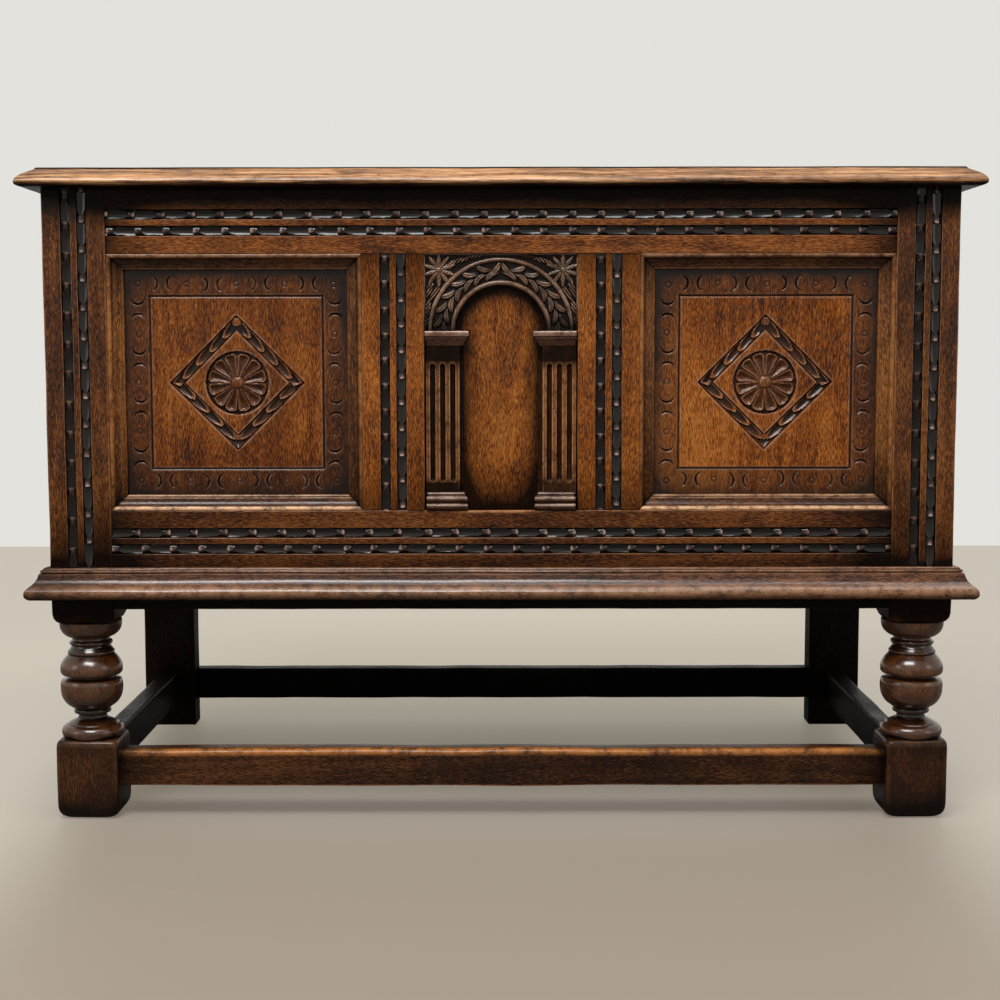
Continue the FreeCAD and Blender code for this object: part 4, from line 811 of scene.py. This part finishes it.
for side, turn in (("left", 1), ("right", -1)):
    low, high = place(f"panel_front_{side}")
    middle, face = (low + high) / 2, low[1]
    halves = (high - low)[0] / 2, (high - low)[2] / 2
    across, up = np.meshgrid(*(np.concatenate([[-half], np.linspace(-CARVED_HALF, CARVED_HALF, 282), [half]])
                               for half in halves))
    height, black = panel_heights(across * turn, up, 11 + turn)
    most = np.maximum(np.abs(across), np.abs(up))
    # Darker near the moulding all round, with painted shade added along the top under the upper moulding;
    # darker also in the corners and outside the cut line, lighter in the middle.
    corner = rise(np.minimum(np.abs(across), np.abs(up)) - 80, 45)
    near = rise(most - 106, 19) ** 1.5 * (0.6 + 0.4 * (up > 0))
    wax_and_shade = black * 0.44 + near * 0.28 + 0.19 * (most > LINE) + corner * 0.16 + 0.05 - fade(most, 150) * 0.1
    wax_and_shade = np.clip(wax_and_shade, 0, 1)
    worn = np.clip((height - blurred(height, 2)) * 1.6, 0, 1)
    part = relief(middle[0] + across, middle[2] + up, face - height, high[1], wax_and_shade, worn)
    make(f"carved_panel_{side}", [part],
         oak(f"oak_carved_panel_{side}", "z", *CARVED_PANEL_TONES[side], bare_and_lit=(162, 122, 96),
             grime_and_shade=(12, 9, 8), hollow=0.4),
         [f"panel_front_{side}"], smooth=50, uneven=0)

# ---------------------------------------------------------------- panel mouldings
# Round each square panel runs a mitred moulding planted on the frame's edge: a worn outer round, a
# hollow, and a thin bead against the panel. Each is four lengths, glued and pinned.

TRIM = [(0, 0), (0, 12.2), (0.8, 12.9), (2.2, 13), (3.8, 12.6), (5, 11.2), (5.6, 9.6), (6.6, 8.4), (8.2, 7.2),
        (10, 6.3), (12, 5.7), (13.4, 5.5), (14, 5.0), (14.3, 4.2), (15.2, 4.4), (16.2, 4.2), (17.1, 3.2),
        (17.5, 1.6), (17.5, 0)]
TRIM_WEAR = [0, 0.1, 0.9, 1, 0.6, 0.1, 0, 0, 0, 0, 0, 0.1, 0.3, 0, 0.2, 0.4, 0.2, 0, 0]
TRIM_UPRIGHT = (((20, 8, 2), (80, 42, 14), (142, 90, 42)), 0.9, (168, 110, 60))
# The lowest length, which faces up, is painted with a bright highlight line by its stronger wear and paler
# colour.
TRIM_FINISH = {
    "low": (((14, 6, 2), (46, 22, 9), (104, 62, 32)), 2.0, (214, 168, 128)),
    "high": (((12, 5, 1), (50, 24, 9), (108, 66, 32)), 1.0, (158, 114, 84)),
    "left": TRIM_UPRIGHT,
    "right": TRIM_UPRIGHT,
}
for side in ("left", "right"):
    low, high = place(f"panel_trim_{side}")
    section = (np.array(TRIM, float), np.array(TRIM_WEAR, float))
    wide, tall = high[0] - low[0], high[2] - low[2]
    y = high[1]
    for name, start, along, inward, long, grain in (
            ("low", (low[0], y, low[2]), X, Z, wide, "x"),
            ("high", (high[0], y, high[2]), -X, -Z, wide, "x"),
            ("left", (low[0], y, high[2]), -Z, X, tall, "z"),
            ("right", (high[0], y, low[2]), Z, -X, tall, "z")):
        part = length(start, along, inward, -Y, long, section, mitres=(-1, -1))
        if grain == "z":
            z = part["points"][:, 2]
            part["stain"] = 0.36 * fade(np.minimum((high[2] - z) * 1.5, z - low[2]), 80)
        tones, wear, bare_and_lit = TRIM_FINISH[name]
        make(f"panel_moulding_{side}_{name}", [part],
             oak(f"oak_panel_moulding_{side}_{name}", grain, *tones, wear=wear, bare_and_lit=bare_and_lit),
             [f"panel_trim_{side}"], uneven=0.12)

# ---------------------------------------------------------------- arch board
# The board over the niche is carved in the solid: two rolls follow the arch with a garland of leaves
# between them that meets at the crown, and a flower with feathered leaves fills each corner.

ARCH_LOW, ARCH_HIGH = place("arch_board")
ARCH_HALF, ARCH_TALL = ARCH_HIGH[0], ARCH_HIGH[2] - ARCH_LOW[2]
ARCH_IN, GROUND = 50.0, -3.6
BAND_IN, BAND_OUT, CORNER_FROM, LEAF_STEP = 57, 75.5, 81, 13.2
FLOWER_AT, FLOWER_EYE = (68.5, 67.0), 3.9
BLADES = (((79, 46), -1.28, 26, 7), ((74, 40), -1.02, 24, 6.5), ((81, 24), -1.42, 24, 7),
          ((82.5, 10), -1.5, 16, 5), ((44, 78), 2.90, 26, 6), ((54, 74), 2.62, 20, 6),
          ((28, 82.2), 3.05, 24, 4.5))


def leaf(x, z, at, heading, long, wide, bend=0.0):
    """Height of a pointed leaf over its ground, from its middle, its heading, its size and its curve."""
    a, b = x - at[0], z - at[1]
    along = (a * math.cos(heading) + b * math.sin(heading)) / (long / 2)
    across = (-a * math.sin(heading) + b * math.cos(heading)) / (wide / 2) - bend * (along ** 2 - 0.4)
    belly = np.clip(1 - along ** 2, 0, 1) ** 0.8 * (1 - 0.25 * along)
    share = np.abs(across) / np.maximum(belly, 1e-3)
    inside = (np.abs(along) < 1) & (share < 1)
    swell = domed(share) * np.clip(belly, 0, 1) ** 0.5
    vein = 0.22 * np.exp(-(across / 0.16) ** 2)
    return np.where(inside, np.clip(swell - vein, 0, 1), 0)


def roll(radius, middle, half, top):
    """Height of a half round that follows the arch."""
    away = np.abs(radius - middle) / half
    return np.where(away < 1, GROUND + (top - GROUND) * domed(away), GROUND)


def garland(side, z):
    """How far the leaves between the two rolls stand up, from 0 to 1."""
    raised = np.zeros_like(side)
    for n in range(7):
        for at_radius, lean, shift, bend in ((61.6, -0.36, 0.0, 0.8), (70.6, 0.52, 0.5, -0.8)):
            turn = math.radians(9.0 + LEAF_STEP * (n + shift))
            if turn > math.radians(94):
                continue
            at = (at_radius * math.sin(turn), at_radius * math.cos(turn))
            raised = np.maximum(raised, leaf(side, z, at, math.pi - turn + lean, 20.5, 7.6, bend))
    return np.maximum(raised, leaf(side, z, (5.6, 68.6), 2.25, 21, 7.5, -0.7))


def corner_flower(side, z):
    """Heights of the flower in a corner, of the feathered leaves round it and of their hatched ground."""
    away = np.hypot(side - FLOWER_AT[0], z - FLOWER_AT[1])
    petal = np.arctan2(z - FLOWER_AT[1], side - FLOWER_AT[0]) * 5 / math.pi
    tenth = (petal - np.floor(petal) - 0.5) * math.pi / 5
    reach, sideways = away * np.cos(tenth) / 19.0, np.abs(away * np.sin(tenth)) / 3.0
    shape = np.clip(1 - (2 * reach - 1.05) ** 2, 0, 1)
    long_petal = domed(sideways / np.maximum(shape, 1e-3)) * (reach > 0.15)
    blade = np.zeros_like(side)
    for at, heading, long, wide in BLADES:
        blade = np.maximum(blade, leaf(side, z, at, heading, long, wide))
    hatch = 0.75 + 0.25 * np.cos((side * 0.9 + z * 0.75) * 1.9)
    flower = np.maximum(long_petal * 2.6, blade * 2.7 * hatch)
    eye = np.where(away < FLOWER_EYE, 3.4 * domed(away / FLOWER_EYE), 0)
    return GROUND + 0.5 * hatch + np.maximum(flower, eye)


def arch_heights(x, z):
    """Heights of the arch board's carving, with z up from the springing of the arch."""
    side = np.abs(x)
    radius = np.hypot(x, z)
    in_band = (radius > BAND_IN) & (radius < BAND_OUT)
    height = np.where(in_band, np.maximum(GROUND, GROUND + 3.1 * garland(side, z)), GROUND)
    height = np.where(radius > CORNER_FROM, corner_flower(side, z), height)
    height = np.maximum(height, np.maximum(roll(radius, 53.2, 3.3, 0.0), roll(radius, 78.6, 2.9, -0.1)))
    edge = np.minimum(ARCH_HALF - side, ARCH_TALL - z)
    return np.where(edge < 1.4, np.maximum(height, -1.0), height)


lean = np.linspace(-math.pi / 2, math.pi / 2, 187)
columns = np.concatenate([np.linspace(-ARCH_HALF, -ARCH_IN - 0.4, 64), ARCH_IN * np.sin(lean),
                          np.linspace(ARCH_IN + 0.4, ARCH_HALF, 64)])
sill = np.sqrt(np.clip(ARCH_IN ** 2 - columns ** 2, 0, None))
up = np.linspace(0, 1, 168)[:, None]
xs = columns[None, :] + 0 * up
zs = sill[None, :] + (ARCH_TALL - sill[None, :]) * up
height = arch_heights(xs, zs)
wax_and_shade = rise(-height - 0.5, 2.4) * 0.5 + 0.07 + 0.4 * fade(zs, 28)
worn = np.clip((height - blurred(height, 2)) * 1.7 + np.clip(1 + height / 1.1, 0, 1) * 0.3, 0, 1) ** 1.3
part = relief(xs, ARCH_LOW[2] + zs, ARCH_LOW[1] - height, ARCH_HIGH[1], wax_and_shade, worn)
make("carved_arch_board", [part],
     oak("oak_arch_board", "x", (12, 5, 3), (60, 34, 21), (120, 84, 58), wear=1.6, bare_and_lit=(184, 148, 120),
         shine=0.55, hollow=0.2),
     ["arch_board"], smooth=60, uneven=0)

# ---------------------------------------------------------------- imposts, pilasters and bases
# The arch rests on moulded imposts, fluted pilaster shafts and moulded bases. They are planted on the
# panel, and the mouldings return round their inner ends.

# Each step gives an inset, a height and a wear; on these the wear is mostly a painted highlight along the top
# of each roll and fillet.
IMPOST = [(6.2, 0, 0), (6.2, 1.2, 0), (5.6, 3.0, 0.2), (4.4, 5.2, 0.1), (3.0, 6.6, 0), (2.2, 7.6, 0),
          (2.2, 9.6, 0), (0.6, 10.2, 0.2), (0, 11, 0.5), (0, 13.2, 0.3), (0, 14.6, 0.6), (0.5, 15.6, 1),
          (1.4, 16, 0.8)]
BASE = [(1.6, 0, 0), (0.4, 1.2, 0), (0, 3.2, 0), (0.3, 5.2, 0.3), (1.1, 6.6, 1), (2.6, 7.6, 0.6),
        (3.0, 8.3, 0), (1.3, 9.2, 0), (0.6, 11.2, 0), (0.7, 13.2, 0.5), (1.8, 14.9, 1), (3.8, 16, 0.8),
        (4.4, 16.5, 0), (3.9, 17.3, 0), (3.9, 18.3, 0.4), (4.6, 19.2, 1), (5.2, 20, 0.6)]
NICHE_EASE = 2.6
BLOCK_TONES = ((18, 6, 1), (72, 36, 16), (124, 78, 44))
SHAFT_TONES = ((18, 7, 1), (70, 36, 14), (126, 80, 42))


def tiers(x, y, z, profile, sides):
    """A block with a moulding worked on some of its sides, named front, left and right.

    profile lists the moulding's inset, height and wear from the bottom up; on the bases and imposts that wear
    is mostly a painted highlight on the tops of the rolls.
    """
    rings, wear = [], []
    for inset, height, out in profile:
        x0, x1 = x[0] + inset * ("left" in sides), x[1] - inset * ("right" in sides)
        y0, y1 = y[0] + inset * ("front" in sides), y[1]
        runs = [((x0, y0), (x1, y0)), ((x1, y0), (x1, y1)), ((x1, y1), (x0, y1)), ((x0, y1), (x0, y0))]
        ring, worn = [], []
        for n, (start, end) in enumerate(runs):
            long = (x[1] - x[0], y[1] - y[0])[n % 2]
            marks = steps(long, 30)[:-1] / long
            ring += [(*(np.array(start) + (np.array(end) - np.array(start)) * t), z + height) for t in marks]
            shown = ("front", "right", "back", "left")[n] in sides
            worn += [out * shown] * len(marks)
        rings.append(np.array(ring))
        wear.append(np.array(worn, float))
    return tube(rings, wear)


FLUTE_TOP, FLUTE_FOOT, FLUTES_OUT, NICHE_STRIP = 23.0, 15.2, 6.4, -12.6
FLUTE_PITCH, SHAFT_HALF, NICHE_SIDE = 11.2, 19, -17


def flutes(x, z, tall, thick):
    """Heights of the pilaster's face: three round flutes with round ends, and a thin strip to the niche."""
    height = np.zeros_like(x)
    for middle in (-FLUTE_PITCH, 0, FLUTE_PITCH):
        beyond = np.maximum(np.maximum(FLUTE_FOOT - z, z - (tall - FLUTE_TOP)), 0)
        share = np.hypot(x - FLUTES_OUT - middle, beyond) / 3.0
        height = np.where(share < 1, -3.3 * domed(share) ** 0.9, height)
    off = np.abs((x - FLUTES_OUT) / FLUTE_PITCH % 1 - 0.5) * 2
    height = np.where((height == 0) & (beyond == 0), -0.9 * off ** 2, height)
    edge = fade(SHAFT_HALF - np.abs(x - FLUTES_OUT), 1.3)
    return np.where(x < NICHE_STRIP, 1.2 - thick, height - edge ** 2 * 0.9)


for side, turn in (("left", 1), ("right", -1)):
    inner = "right" if side == "left" else "left"
    for node, profile, name in ((f"impost_{side}", IMPOST, "impost"),
                                (f"pilaster_base_{side}", BASE, "base")):
        low, high = place(node)
        ends = (low[0], high[0] - NICHE_EASE) if side == "left" else (low[0] + NICHE_EASE, high[0])
        part = tiers(ends, (low[1], high[1]), low[2], profile, ("front", inner))
        level = part["points"][:, 2] - low[2]
        part["stain"] = 0.2 + 0.14 * (level < 4) if name == "base" else 0.02 + 0.2 * (level < 4)
        # Their pale colour along the tops of the rolls is a painted highlight.
        make(f"moulded_{name}_{side}", [part],
             oak(f"oak_{name}_{side}", "x", *BLOCK_TONES, wear=1.4, bare_and_lit=(182, 150, 128), shine=0.45,
                 hollow=0.1),
             [node], uneven=0.1)
    low, high = place(f"pilaster_{side}")
    middle, tall = (low[0] + high[0]) / 2, high[2] - low[2]
    spots = np.concatenate([[NICHE_SIDE, NICHE_STRIP - 0.1],
                            np.linspace(NICHE_STRIP + 0.1, FLUTES_OUT + SHAFT_HALF, 96)])
    xs, zs = np.meshgrid(spots, np.linspace(0, tall, 150))
    height = flutes(xs, zs, tall, high[1] - low[1])
    # The top of each shaft is painted with the impost's shadow; the shaft also darkens at its foot and in its
    # flutes.
    shade = 0.46 * rise(zs - tall + 30, 14) + 0.42 * fade(zs - 10, 9)
    wax_and_shade = np.maximum(rise(-height, 2.4) * 0.40, shade)
    ridge = np.clip(0.2 + (height - blurred(height, 3)) * 1.3, 0, 1) * (height > -0.5)
    part = relief(middle - turn * xs, low[2] + zs, low[1] - height, high[1], wax_and_shade, ridge)
    make(f"fluted_pilaster_{side}", [part],
         oak(f"oak_pilaster_{side}", "z", *SHAFT_TONES, wear=1.4, bare_and_lit=(176, 122, 78)),
         [f"pilaster_{side}"], smooth=50, uneven=0)

# ---------------------------------------------------------------- plinth moulding
# A broad moulding runs round the front and sides under the bottom rails, mitred at the front corners.
# Its nose has been rubbed bright by knees and brooms.

PLINTH = [(0, 0), (17, 0), (19, 0.3), (21.8, 2), (23.6, 4.6), (24, 7.2), (23.5, 9.6), (22, 12), (19.7, 14.3),
          (17.2, 16.3), (15, 18.2), (13.2, 20.4), (11.9, 22.8), (10.9, 25.4), (10.3, 27.6), (9.8, 28.6),
          (7.4, 29), (7.2, 29.6), (8.6, 30.1), (8.9, 31.1), (8.3, 32.3), (6.4, 32.9), (6.3, 33.3),
          (5.6, 34.4), (4, 35), (0, 35)]
PLINTH_WEAR = [0, 0, 0.1, 0.2, 0.4, 0.6, 0.8, 1, 0.8, 0.4, 0.1, 0, 0, 0, 0.1, 0.7, 0, 0, 0.8, 1, 0.6, 0, 0,
               0.8, 0.6, 0]
PLINTH_LOW = place("plinth_front")[0][2]
CHEST_BACK = place("post_back_left")[1][1]
section = (np.array(PLINTH, float), np.array(PLINTH_WEAR, float))
for name, start, along, out, long, mitres, grain in (
        ("front", (POST_LOW[0], FACE, PLINTH_LOW), X, -Y, -2 * POST_LOW[0], (1, 1), "x"),
        ("left", (POST_LOW[0], CHEST_BACK, PLINTH_LOW), -Y, -X, CHEST_BACK - FACE, (0, 1), "y"),
        ("right", (-POST_LOW[0], FACE, PLINTH_LOW), Y, X, CHEST_BACK - FACE, (1, 0), "y")):
    part = length(start, along, out, Z, long, section, mitres=mitres)
    x, _, z = part["points"].T
    part["stain"] = 0.5 * fade(z - PLINTH_LOW, 2.4) + 0.24 * fade(x - POST_LOW[0], 90)
    make(f"plinth_moulding_{name}", [part],
         oak(f"oak_plinth_{name}", grain, (12, 4, 2), (60, 29, 13), (118, 76, 48), wear=1.05, wax_and_shade=1.1,
             bare_and_lit=(150, 110, 80), shine=0.5, bold=0.9),
         [f"plinth_{name}"], uneven=0.3)

# ---------------------------------------------------------------- stretchers
# Four oak bars tie the legs near the floor, tenoned into the posts. Feet have worn the upper edge of
# the front one to a long pale slope.

# The back and side stretchers are the same oak as the front one, painted near black with the shade under the
# chest, their worn colour dark too.
STRETCHER_TONES = {
    "front": ((18, 8, 4), (52, 27, 13), (94, 58, 30)), "back": ((0, 0, 0), (3, 1, 1), (12, 6, 4)),
    "left": ((2, 1, 0), (16, 8, 5), (44, 26, 16)), "right": ((2, 1, 0), (16, 8, 5), (44, 26, 16)),
}
for side, tones in STRETCHER_TONES.items():
    node, front = "stretcher_" + side, side == "front"
    low, high = place(node)
    long = 0 if side in ("front", "back") else 1
    low[long], high[long] = low[long] + TENON, high[long] - TENON
    size = high - low
    across = size[1 - long]
    worn_edge = 8.5 if front else 3
    section = rounded([(0, 0, 2), (across, 0, 2), (across, size[2], 3), (0, size[2], worn_edge)], 2)
    part = length(low, (X, Y)[long], (Y, X)[long], Z, size[long], section)
    part["stain"] = 0.38 * fade(from_end(part, long, low, high), 60) * front
    make("tie_" + node, [part],
         oak("oak_" + node, "xy"[long], *tones, wear=1.4 if front else 0.5,
             bare_and_lit=(168, 106, 52) if front else (44, 26, 16), shine=0.22 if front else 0.05, hollow=0.0),
         [node], uneven=0.5 if front else 0.3)

# ---------------------------------------------------------------- floor of the chest
# Two battens nailed inside the rails carry four loose bottom boards of dry, unpolished oak. The end
# boards are notched round the posts.

DRY = ((74, 48, 28), (128, 92, 60), (170, 132, 94))
NOTCH, REAR_NOTCH = POST - 24, 12
for node in ("bearer_front", "bearer_back"):
    low, high = place(node)
    wide, deep, tall = high - low
    make("nailed_" + node, [length(low, X, Y, Z, wide, oblong(deep, tall, 1))],
         oak("oak_" + node, "x", *DRY, gloss=0.7), [node])
for node in ("bottom_board_middle_left", "bottom_board_middle_right", "bottom_board_end_left",
             "bottom_board_end_right"):
    low, high = place(node)
    wide, deep, tall = high - low
    outline = [(0, 0), (wide, 0), (wide, deep), (0, deep)]
    if "end" in node:
        outline = [(NOTCH, 0), (wide, 0), (wide, deep), (NOTCH, deep), (NOTCH, deep - REAR_NOTCH),
                   (0, deep - REAR_NOTCH), (0, NOTCH), (NOTCH, NOTCH)]
        if node.endswith("right"):
            outline = [(wide - a, b) for a, b in reversed(outline)]
    make("loose_" + node, [length(low, Z, X, Y, tall, rounded(outline, 0.8), eased=0.8)],
         oak("oak_" + node, "y", *DRY, gloss=0.7), [node])

# ---------------------------------------------------------------- lid
# The lid is three wide boards glued edge to edge, with a thumb moulding worked on its front and ends,
# and two battens screwed underneath. The moulding is worn nearly to the bare wood.

LID_EDGE = [(8.4, 0, 0), (5.4, 0.2, 0), (2.8, 0.9, 0), (1.0, 2.0, 0), (0.1, 3.8, 0.2), (0, 5.2, 0.4),
            (0.5, 7.0, 0.8), (1.6, 9.0, 1), (3.4, 11.0, 1), (5.8, 13.0, 0.8), (8.6, 14.8, 0.7),
            (11.6, 16.4, 0.6), (14.4, 17.8, 0.6), (16.6, 18.9, 0.5), (18.0, 19.8, 0.4), (18.6, 20.6, 0),
            (19.2, 21.4, 0), (20, 21.9, 0), (21, 22, 0)]
LID_TONES = ((26, 12, 4), (122, 76, 42), (186, 138, 94))
LID_EASE, BOARD_EASE = 0.2, 0.25
for node in ("lid_board_front", "lid_board_middle", "lid_board_back"):
    low, high = place(node)
    sides = ("left", "right", "front") if node.endswith("front") else ("left", "right")
    wide = (low[0] + LID_EASE, high[0] - LID_EASE)
    deep = (low[1] + (LID_EASE if "front" in sides else BOARD_EASE), high[1] - BOARD_EASE)
    part = tiers(wide, deep, low[2], LID_EDGE, sides)
    level = part["points"][:, 2] - low[2]
    # The lower part of the moulding, which faces down, is painted with shade; a dark line runs along the top
    # arris, and the ends are darker.
    part["stain"] = (0.5 * fade(level, 6.5) + 0.5 * ((level > 20.5) & (level < 21.95))
                     + 0.16 * fade(from_end(part, 0, low, high), 60))
    make("top_" + node, [part],
         oak("oak_" + node, "x", *LID_TONES, wear=0.45, bare_and_lit=(184, 140, 102), shine=0.4, run=0.03, bold=3.2),
         [node], body="lid", uneven=0.25)
for side in ("left", "right"):
    low, high = place(f"lid_batten_{side}")
    size = high - low
    section = rounded([(0, 0, 2.5), (size[0], 0, 2.5), (size[0], size[2]), (0, size[2])], 0.6)
    make(f"screwed_batten_{side}", [length(low, Y, X, Z, size[1], section, eased=2)],
         oak(f"oak_batten_{side}", "y", *DRY, gloss=0.7), [f"lid_batten_{side}"],
         body="lid")

# ---------------------------------------------------------------- hinges and screws
# Two brass butt hinges let into the back rail and the lid, with rolled knuckles on a brass pin. Each
# leaf is held by three countersunk slotted screws. The brass has gone dull and brown.


def brass(name, seed, tone=(150, 116, 62)):
    """Old dull brass, browner in patches."""
    finish, shader, spot = new_finish(name)
    spot = spot.moved((seed, 0, 0))
    tarnish = spot.noise(160.0, 4.0, 0.65).between(0.40, 0.66)
    fine = spot.noise(1400.0, 2.0)
    colour = spot.blend(tarnish * 0.8, paint(*tone), paint(78, 56, 34))
    rough = tarnish * 0.22 + fine * 0.12 + 0.24
    bump = fine.node("Bump", {"Height": fine, "Strength": 0.25, "Distance": 0.0002})
    feed(shader, {"Base Color": colour, "Roughness": rough, "Normal": bump, "Metallic": 0.9})
    return finish


def eased_copy(name, node, finish, body, arris):
    """A metal piece on its CAD node's shape, with its edges broken."""
    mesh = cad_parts[node].data.copy()
    mesh.name = name
    shell = bmesh.new()
    shell.from_mesh(mesh)
    bmesh.ops.remove_doubles(shell, verts=shell.verts, dist=1e-6)
    bmesh.ops.dissolve_limit(shell, angle_limit=math.radians(2), verts=shell.verts, edges=shell.edges)
    sharp = [edge for edge in shell.edges if edge.is_manifold and edge.calc_face_angle(0) > math.radians(40)]
    bmesh.ops.bevel(shell, geom=sharp, offset=arris * MM, segments=2, affect="EDGES", clamp_overlap=True)
    shell.to_mesh(mesh)
    shell.free()
    mesh.polygons.foreach_set("use_smooth", [True] * len(mesh.polygons))
    mesh.set_sharp_from_angle(angle=math.radians(32))
    mesh.materials.clear()
    mesh.materials.append(finish)
    piece = set_down(name, mesh)
    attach(piece, body)
    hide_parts(node)
    return piece


for node, body in (("hinge_leaves_lower", "carcass"), ("hinge_leaves_upper", "lid"),
                   ("hinge_pins", "carcass")):
    eased_copy("brass_" + node, node, brass("brass_of_" + node, len(node)), body, 0.25)

HEAD, SHANK, SLOT_HALF, SLOT_DEEP = 3.35, 1.6, 0.42, 0.7
SCREW = [(-14.0, 0.4), (-11, SHANK), (-1.2, SHANK), (-1.1, HEAD - 0.4), (-SLOT_DEEP, HEAD - 0.15)]
SCREWS_AT = (-350, -330, -310, 310, 330, 350)


def screw_head(x, y, z, up, turn):
    """A countersunk head with its slot at an angle, its flat face up or down at height z."""
    gap = math.asin(SLOT_HALF / HEAD)
    half = [(HEAD * math.cos(angle), HEAD * math.sin(angle)) for angle in np.linspace(gap, math.pi - gap, 15)]
    shapes = []
    for flip in (1, -1):
        ring = np.array(half) * flip
        rings = []
        for level, inset in ((-SLOT_DEEP, 0.5), (-0.12, 0.02), (0, 0.14)):
            spot = ring * (1 - inset / HEAD)
            a = spot[:, 0] * math.cos(turn) - spot[:, 1] * math.sin(turn)
            b = spot[:, 0] * math.sin(turn) + spot[:, 1] * math.cos(turn)
            rings.append(np.stack([x + a, y + b, np.full(len(a), z + level * up)], 1))
        shapes.append(tube(rings, [np.zeros(len(half))] * 3))
    angles = np.linspace(0, 2 * math.pi, 24, endpoint=False)
    rings = [np.stack([x + r * np.cos(angles), y + r * np.sin(angles), np.full(24, z + level * up)], 1)
             for level, r in SCREW]
    return shapes + [tube(rings, [np.zeros(24)] * len(SCREW))]


for name, body, up in (("lower", "carcass", 1), ("upper", "lid", -1)):
    low, high = place(f"screws_{name}")
    y, z = (low[1] + high[1]) / 2, (high[2] if up > 0 else low[2])
    draw = np.random.default_rng(5 + up)
    heads = []
    for x in SCREWS_AT:
        heads += screw_head(x, y, z, up, draw.uniform(0, 3))
    make(f"slotted_screws_{name}", heads, brass(f"screw_brass_{name}", 3 + up, (158, 124, 70)),
         [f"screws_{name}"], body=body, smooth=30, uneven=0)

# ---------------------------------------------------------------- floor, light and camera
# A pale floor and a pale wall beyond it, a broad soft lamp above the front, a weaker one to each side
# and an even light from the room. The floor glows for the camera alone with painted light: a painted shadow
# under the chest, brighter beside it and towards the back. The camera stands at chest height, a little tilted
# down.

FLOOR_HALF, WALL_AT = 6, 2.33
NEAR_FLOOR, LIT_FLOOR_BESIDE = (0.155, 0.115, 0.08, 1), (0.38, 0.35, 0.29, 1)
SHADOW_UNDER_CHEST, BACK_FLOOR, FAR_FLOOR = (0.15, 0.13, 0.105, 1), (0.36, 0.33, 0.26, 1), (0.46, 0.42, 0.34, 1)

floor_mesh = bpy.data.meshes.new("studio_floor")
floor_mesh.from_pydata([(-FLOOR_HALF, -FLOOR_HALF, 0), (FLOOR_HALF, -FLOOR_HALF, 0), (FLOOR_HALF, WALL_AT, 0),
                        (-FLOOR_HALF, WALL_AT, 0)], [], [(0, 1, 2, 3)])
floor = set_down("studio_floor", floor_mesh)
floor_finish, floor_shader, spot = new_finish("studio_floor")
aside = spot.node("SeparateXYZ", {0: spot})
ahead = spot.node("SeparateXYZ", {0: spot}, out=1)
# Painted light that only the camera sees: darker at the front, a painted shadow under the chest, brighter
# beside it and brightest far back.
painted_floor_light = ahead.node("ValToRGB", {0: ahead.maths("DIVIDE", ahead + 1.3, 3.6, clamp=True)}, {"stops": [
    (0.0, NEAR_FLOOR), (1.0, FAR_FLOOR), (0.36, SHADOW_UNDER_CHEST), (0.55, BACK_FLOOR)]})
beside = aside.maths("ABSOLUTE", aside).between(0.41, 0.62)
painted_floor_light = spot.blend(beside * 0.9, painted_floor_light, LIT_FLOOR_BESIDE)
shown = spot.node("LightPath", {}, out="Is Camera Ray")
feed(floor_shader, {"Base Color": (0.16, 0.137, 0.115, 1), "Roughness": 0.55, "Emission Strength": 1.0,
                    "Emission Color": spot.blend(shown, (0, 0, 0, 1), painted_floor_light)})
floor_mesh.materials.append(floor_finish)

world = bpy.data.worlds.new("room")
bpy.context.scene.world = world
world.use_nodes = True
room = world.node_tree
for old in list(room.nodes):
    room.nodes.remove(old)
path = room.nodes.new("ShaderNodeLightPath")
seen = Tone(path.outputs["Is Camera Ray"])
for kind in ("Is Glossy Ray", "Is Transmission Ray"):
    seen = seen.maths("MAXIMUM", seen, Tone(path.outputs[kind]))
wall, glow = room.nodes.new("ShaderNodeBackground"), room.nodes.new("ShaderNodeBackground")
wall.inputs["Color"].default_value = paint(227, 226, 221)
glow.inputs["Color"].default_value = (1, 0.985, 0.965, 1)
glow.inputs["Strength"].default_value = 0.16
either, ending = room.nodes.new("ShaderNodeMixShader"), room.nodes.new("ShaderNodeOutputWorld")
room.links.new(either.inputs[0], seen.socket)
room.links.new(either.inputs[1], glow.outputs[0])
room.links.new(either.inputs[2], wall.outputs[0])
room.links.new(ending.inputs[0], either.outputs[0])

for name, spot, target, wide, tall, power in (
        ("front_lamp", (-0.5, -2.1, 3.1), (0, -0.2, 0.4), 1.8, 0.8, 110),
        ("ceiling_lamp", (0.3, -1.0, 3.4), (0, -0.1, 0.3), 3.4, 1.2, 60),
        ("left_lamp", (-3.2, -2.0, 1.6), (0, 0, 0.4), 1.2, 1.6, 14),
        ("right_lamp", (3.2, -2.0, 1.6), (0, 0, 0.4), 1.2, 1.6, 12)):
    lamp = bpy.data.lights.new(name, "AREA")
    lamp.shape, lamp.size, lamp.size_y, lamp.energy = "RECTANGLE", wide, tall, power
    holder = set_down(name, lamp)
    holder.location = spot
    holder.rotation_euler = (Vector(target) - Vector(spot)).to_track_quat("-Z", "Y").to_euler()

CAMERA_AT = (0.002, -2.05215, 0.5319)
TILT, TURN, ROLL = math.radians(5.3), math.radians(0.098), 0.0014
SENSOR, REACH = 36, 1629 / 1000
camera = set_down("camera", bpy.data.cameras.new("camera"))
camera.location = CAMERA_AT
camera.rotation_mode = "XYZ"
camera.rotation_euler = (math.pi / 2 - TILT, ROLL, TURN)
camera.data.sensor_width = SENSOR
camera.data.lens = REACH * SENSOR
bpy.context.scene.camera = camera
bpy.context.scene.view_settings.view_transform = "Standard"
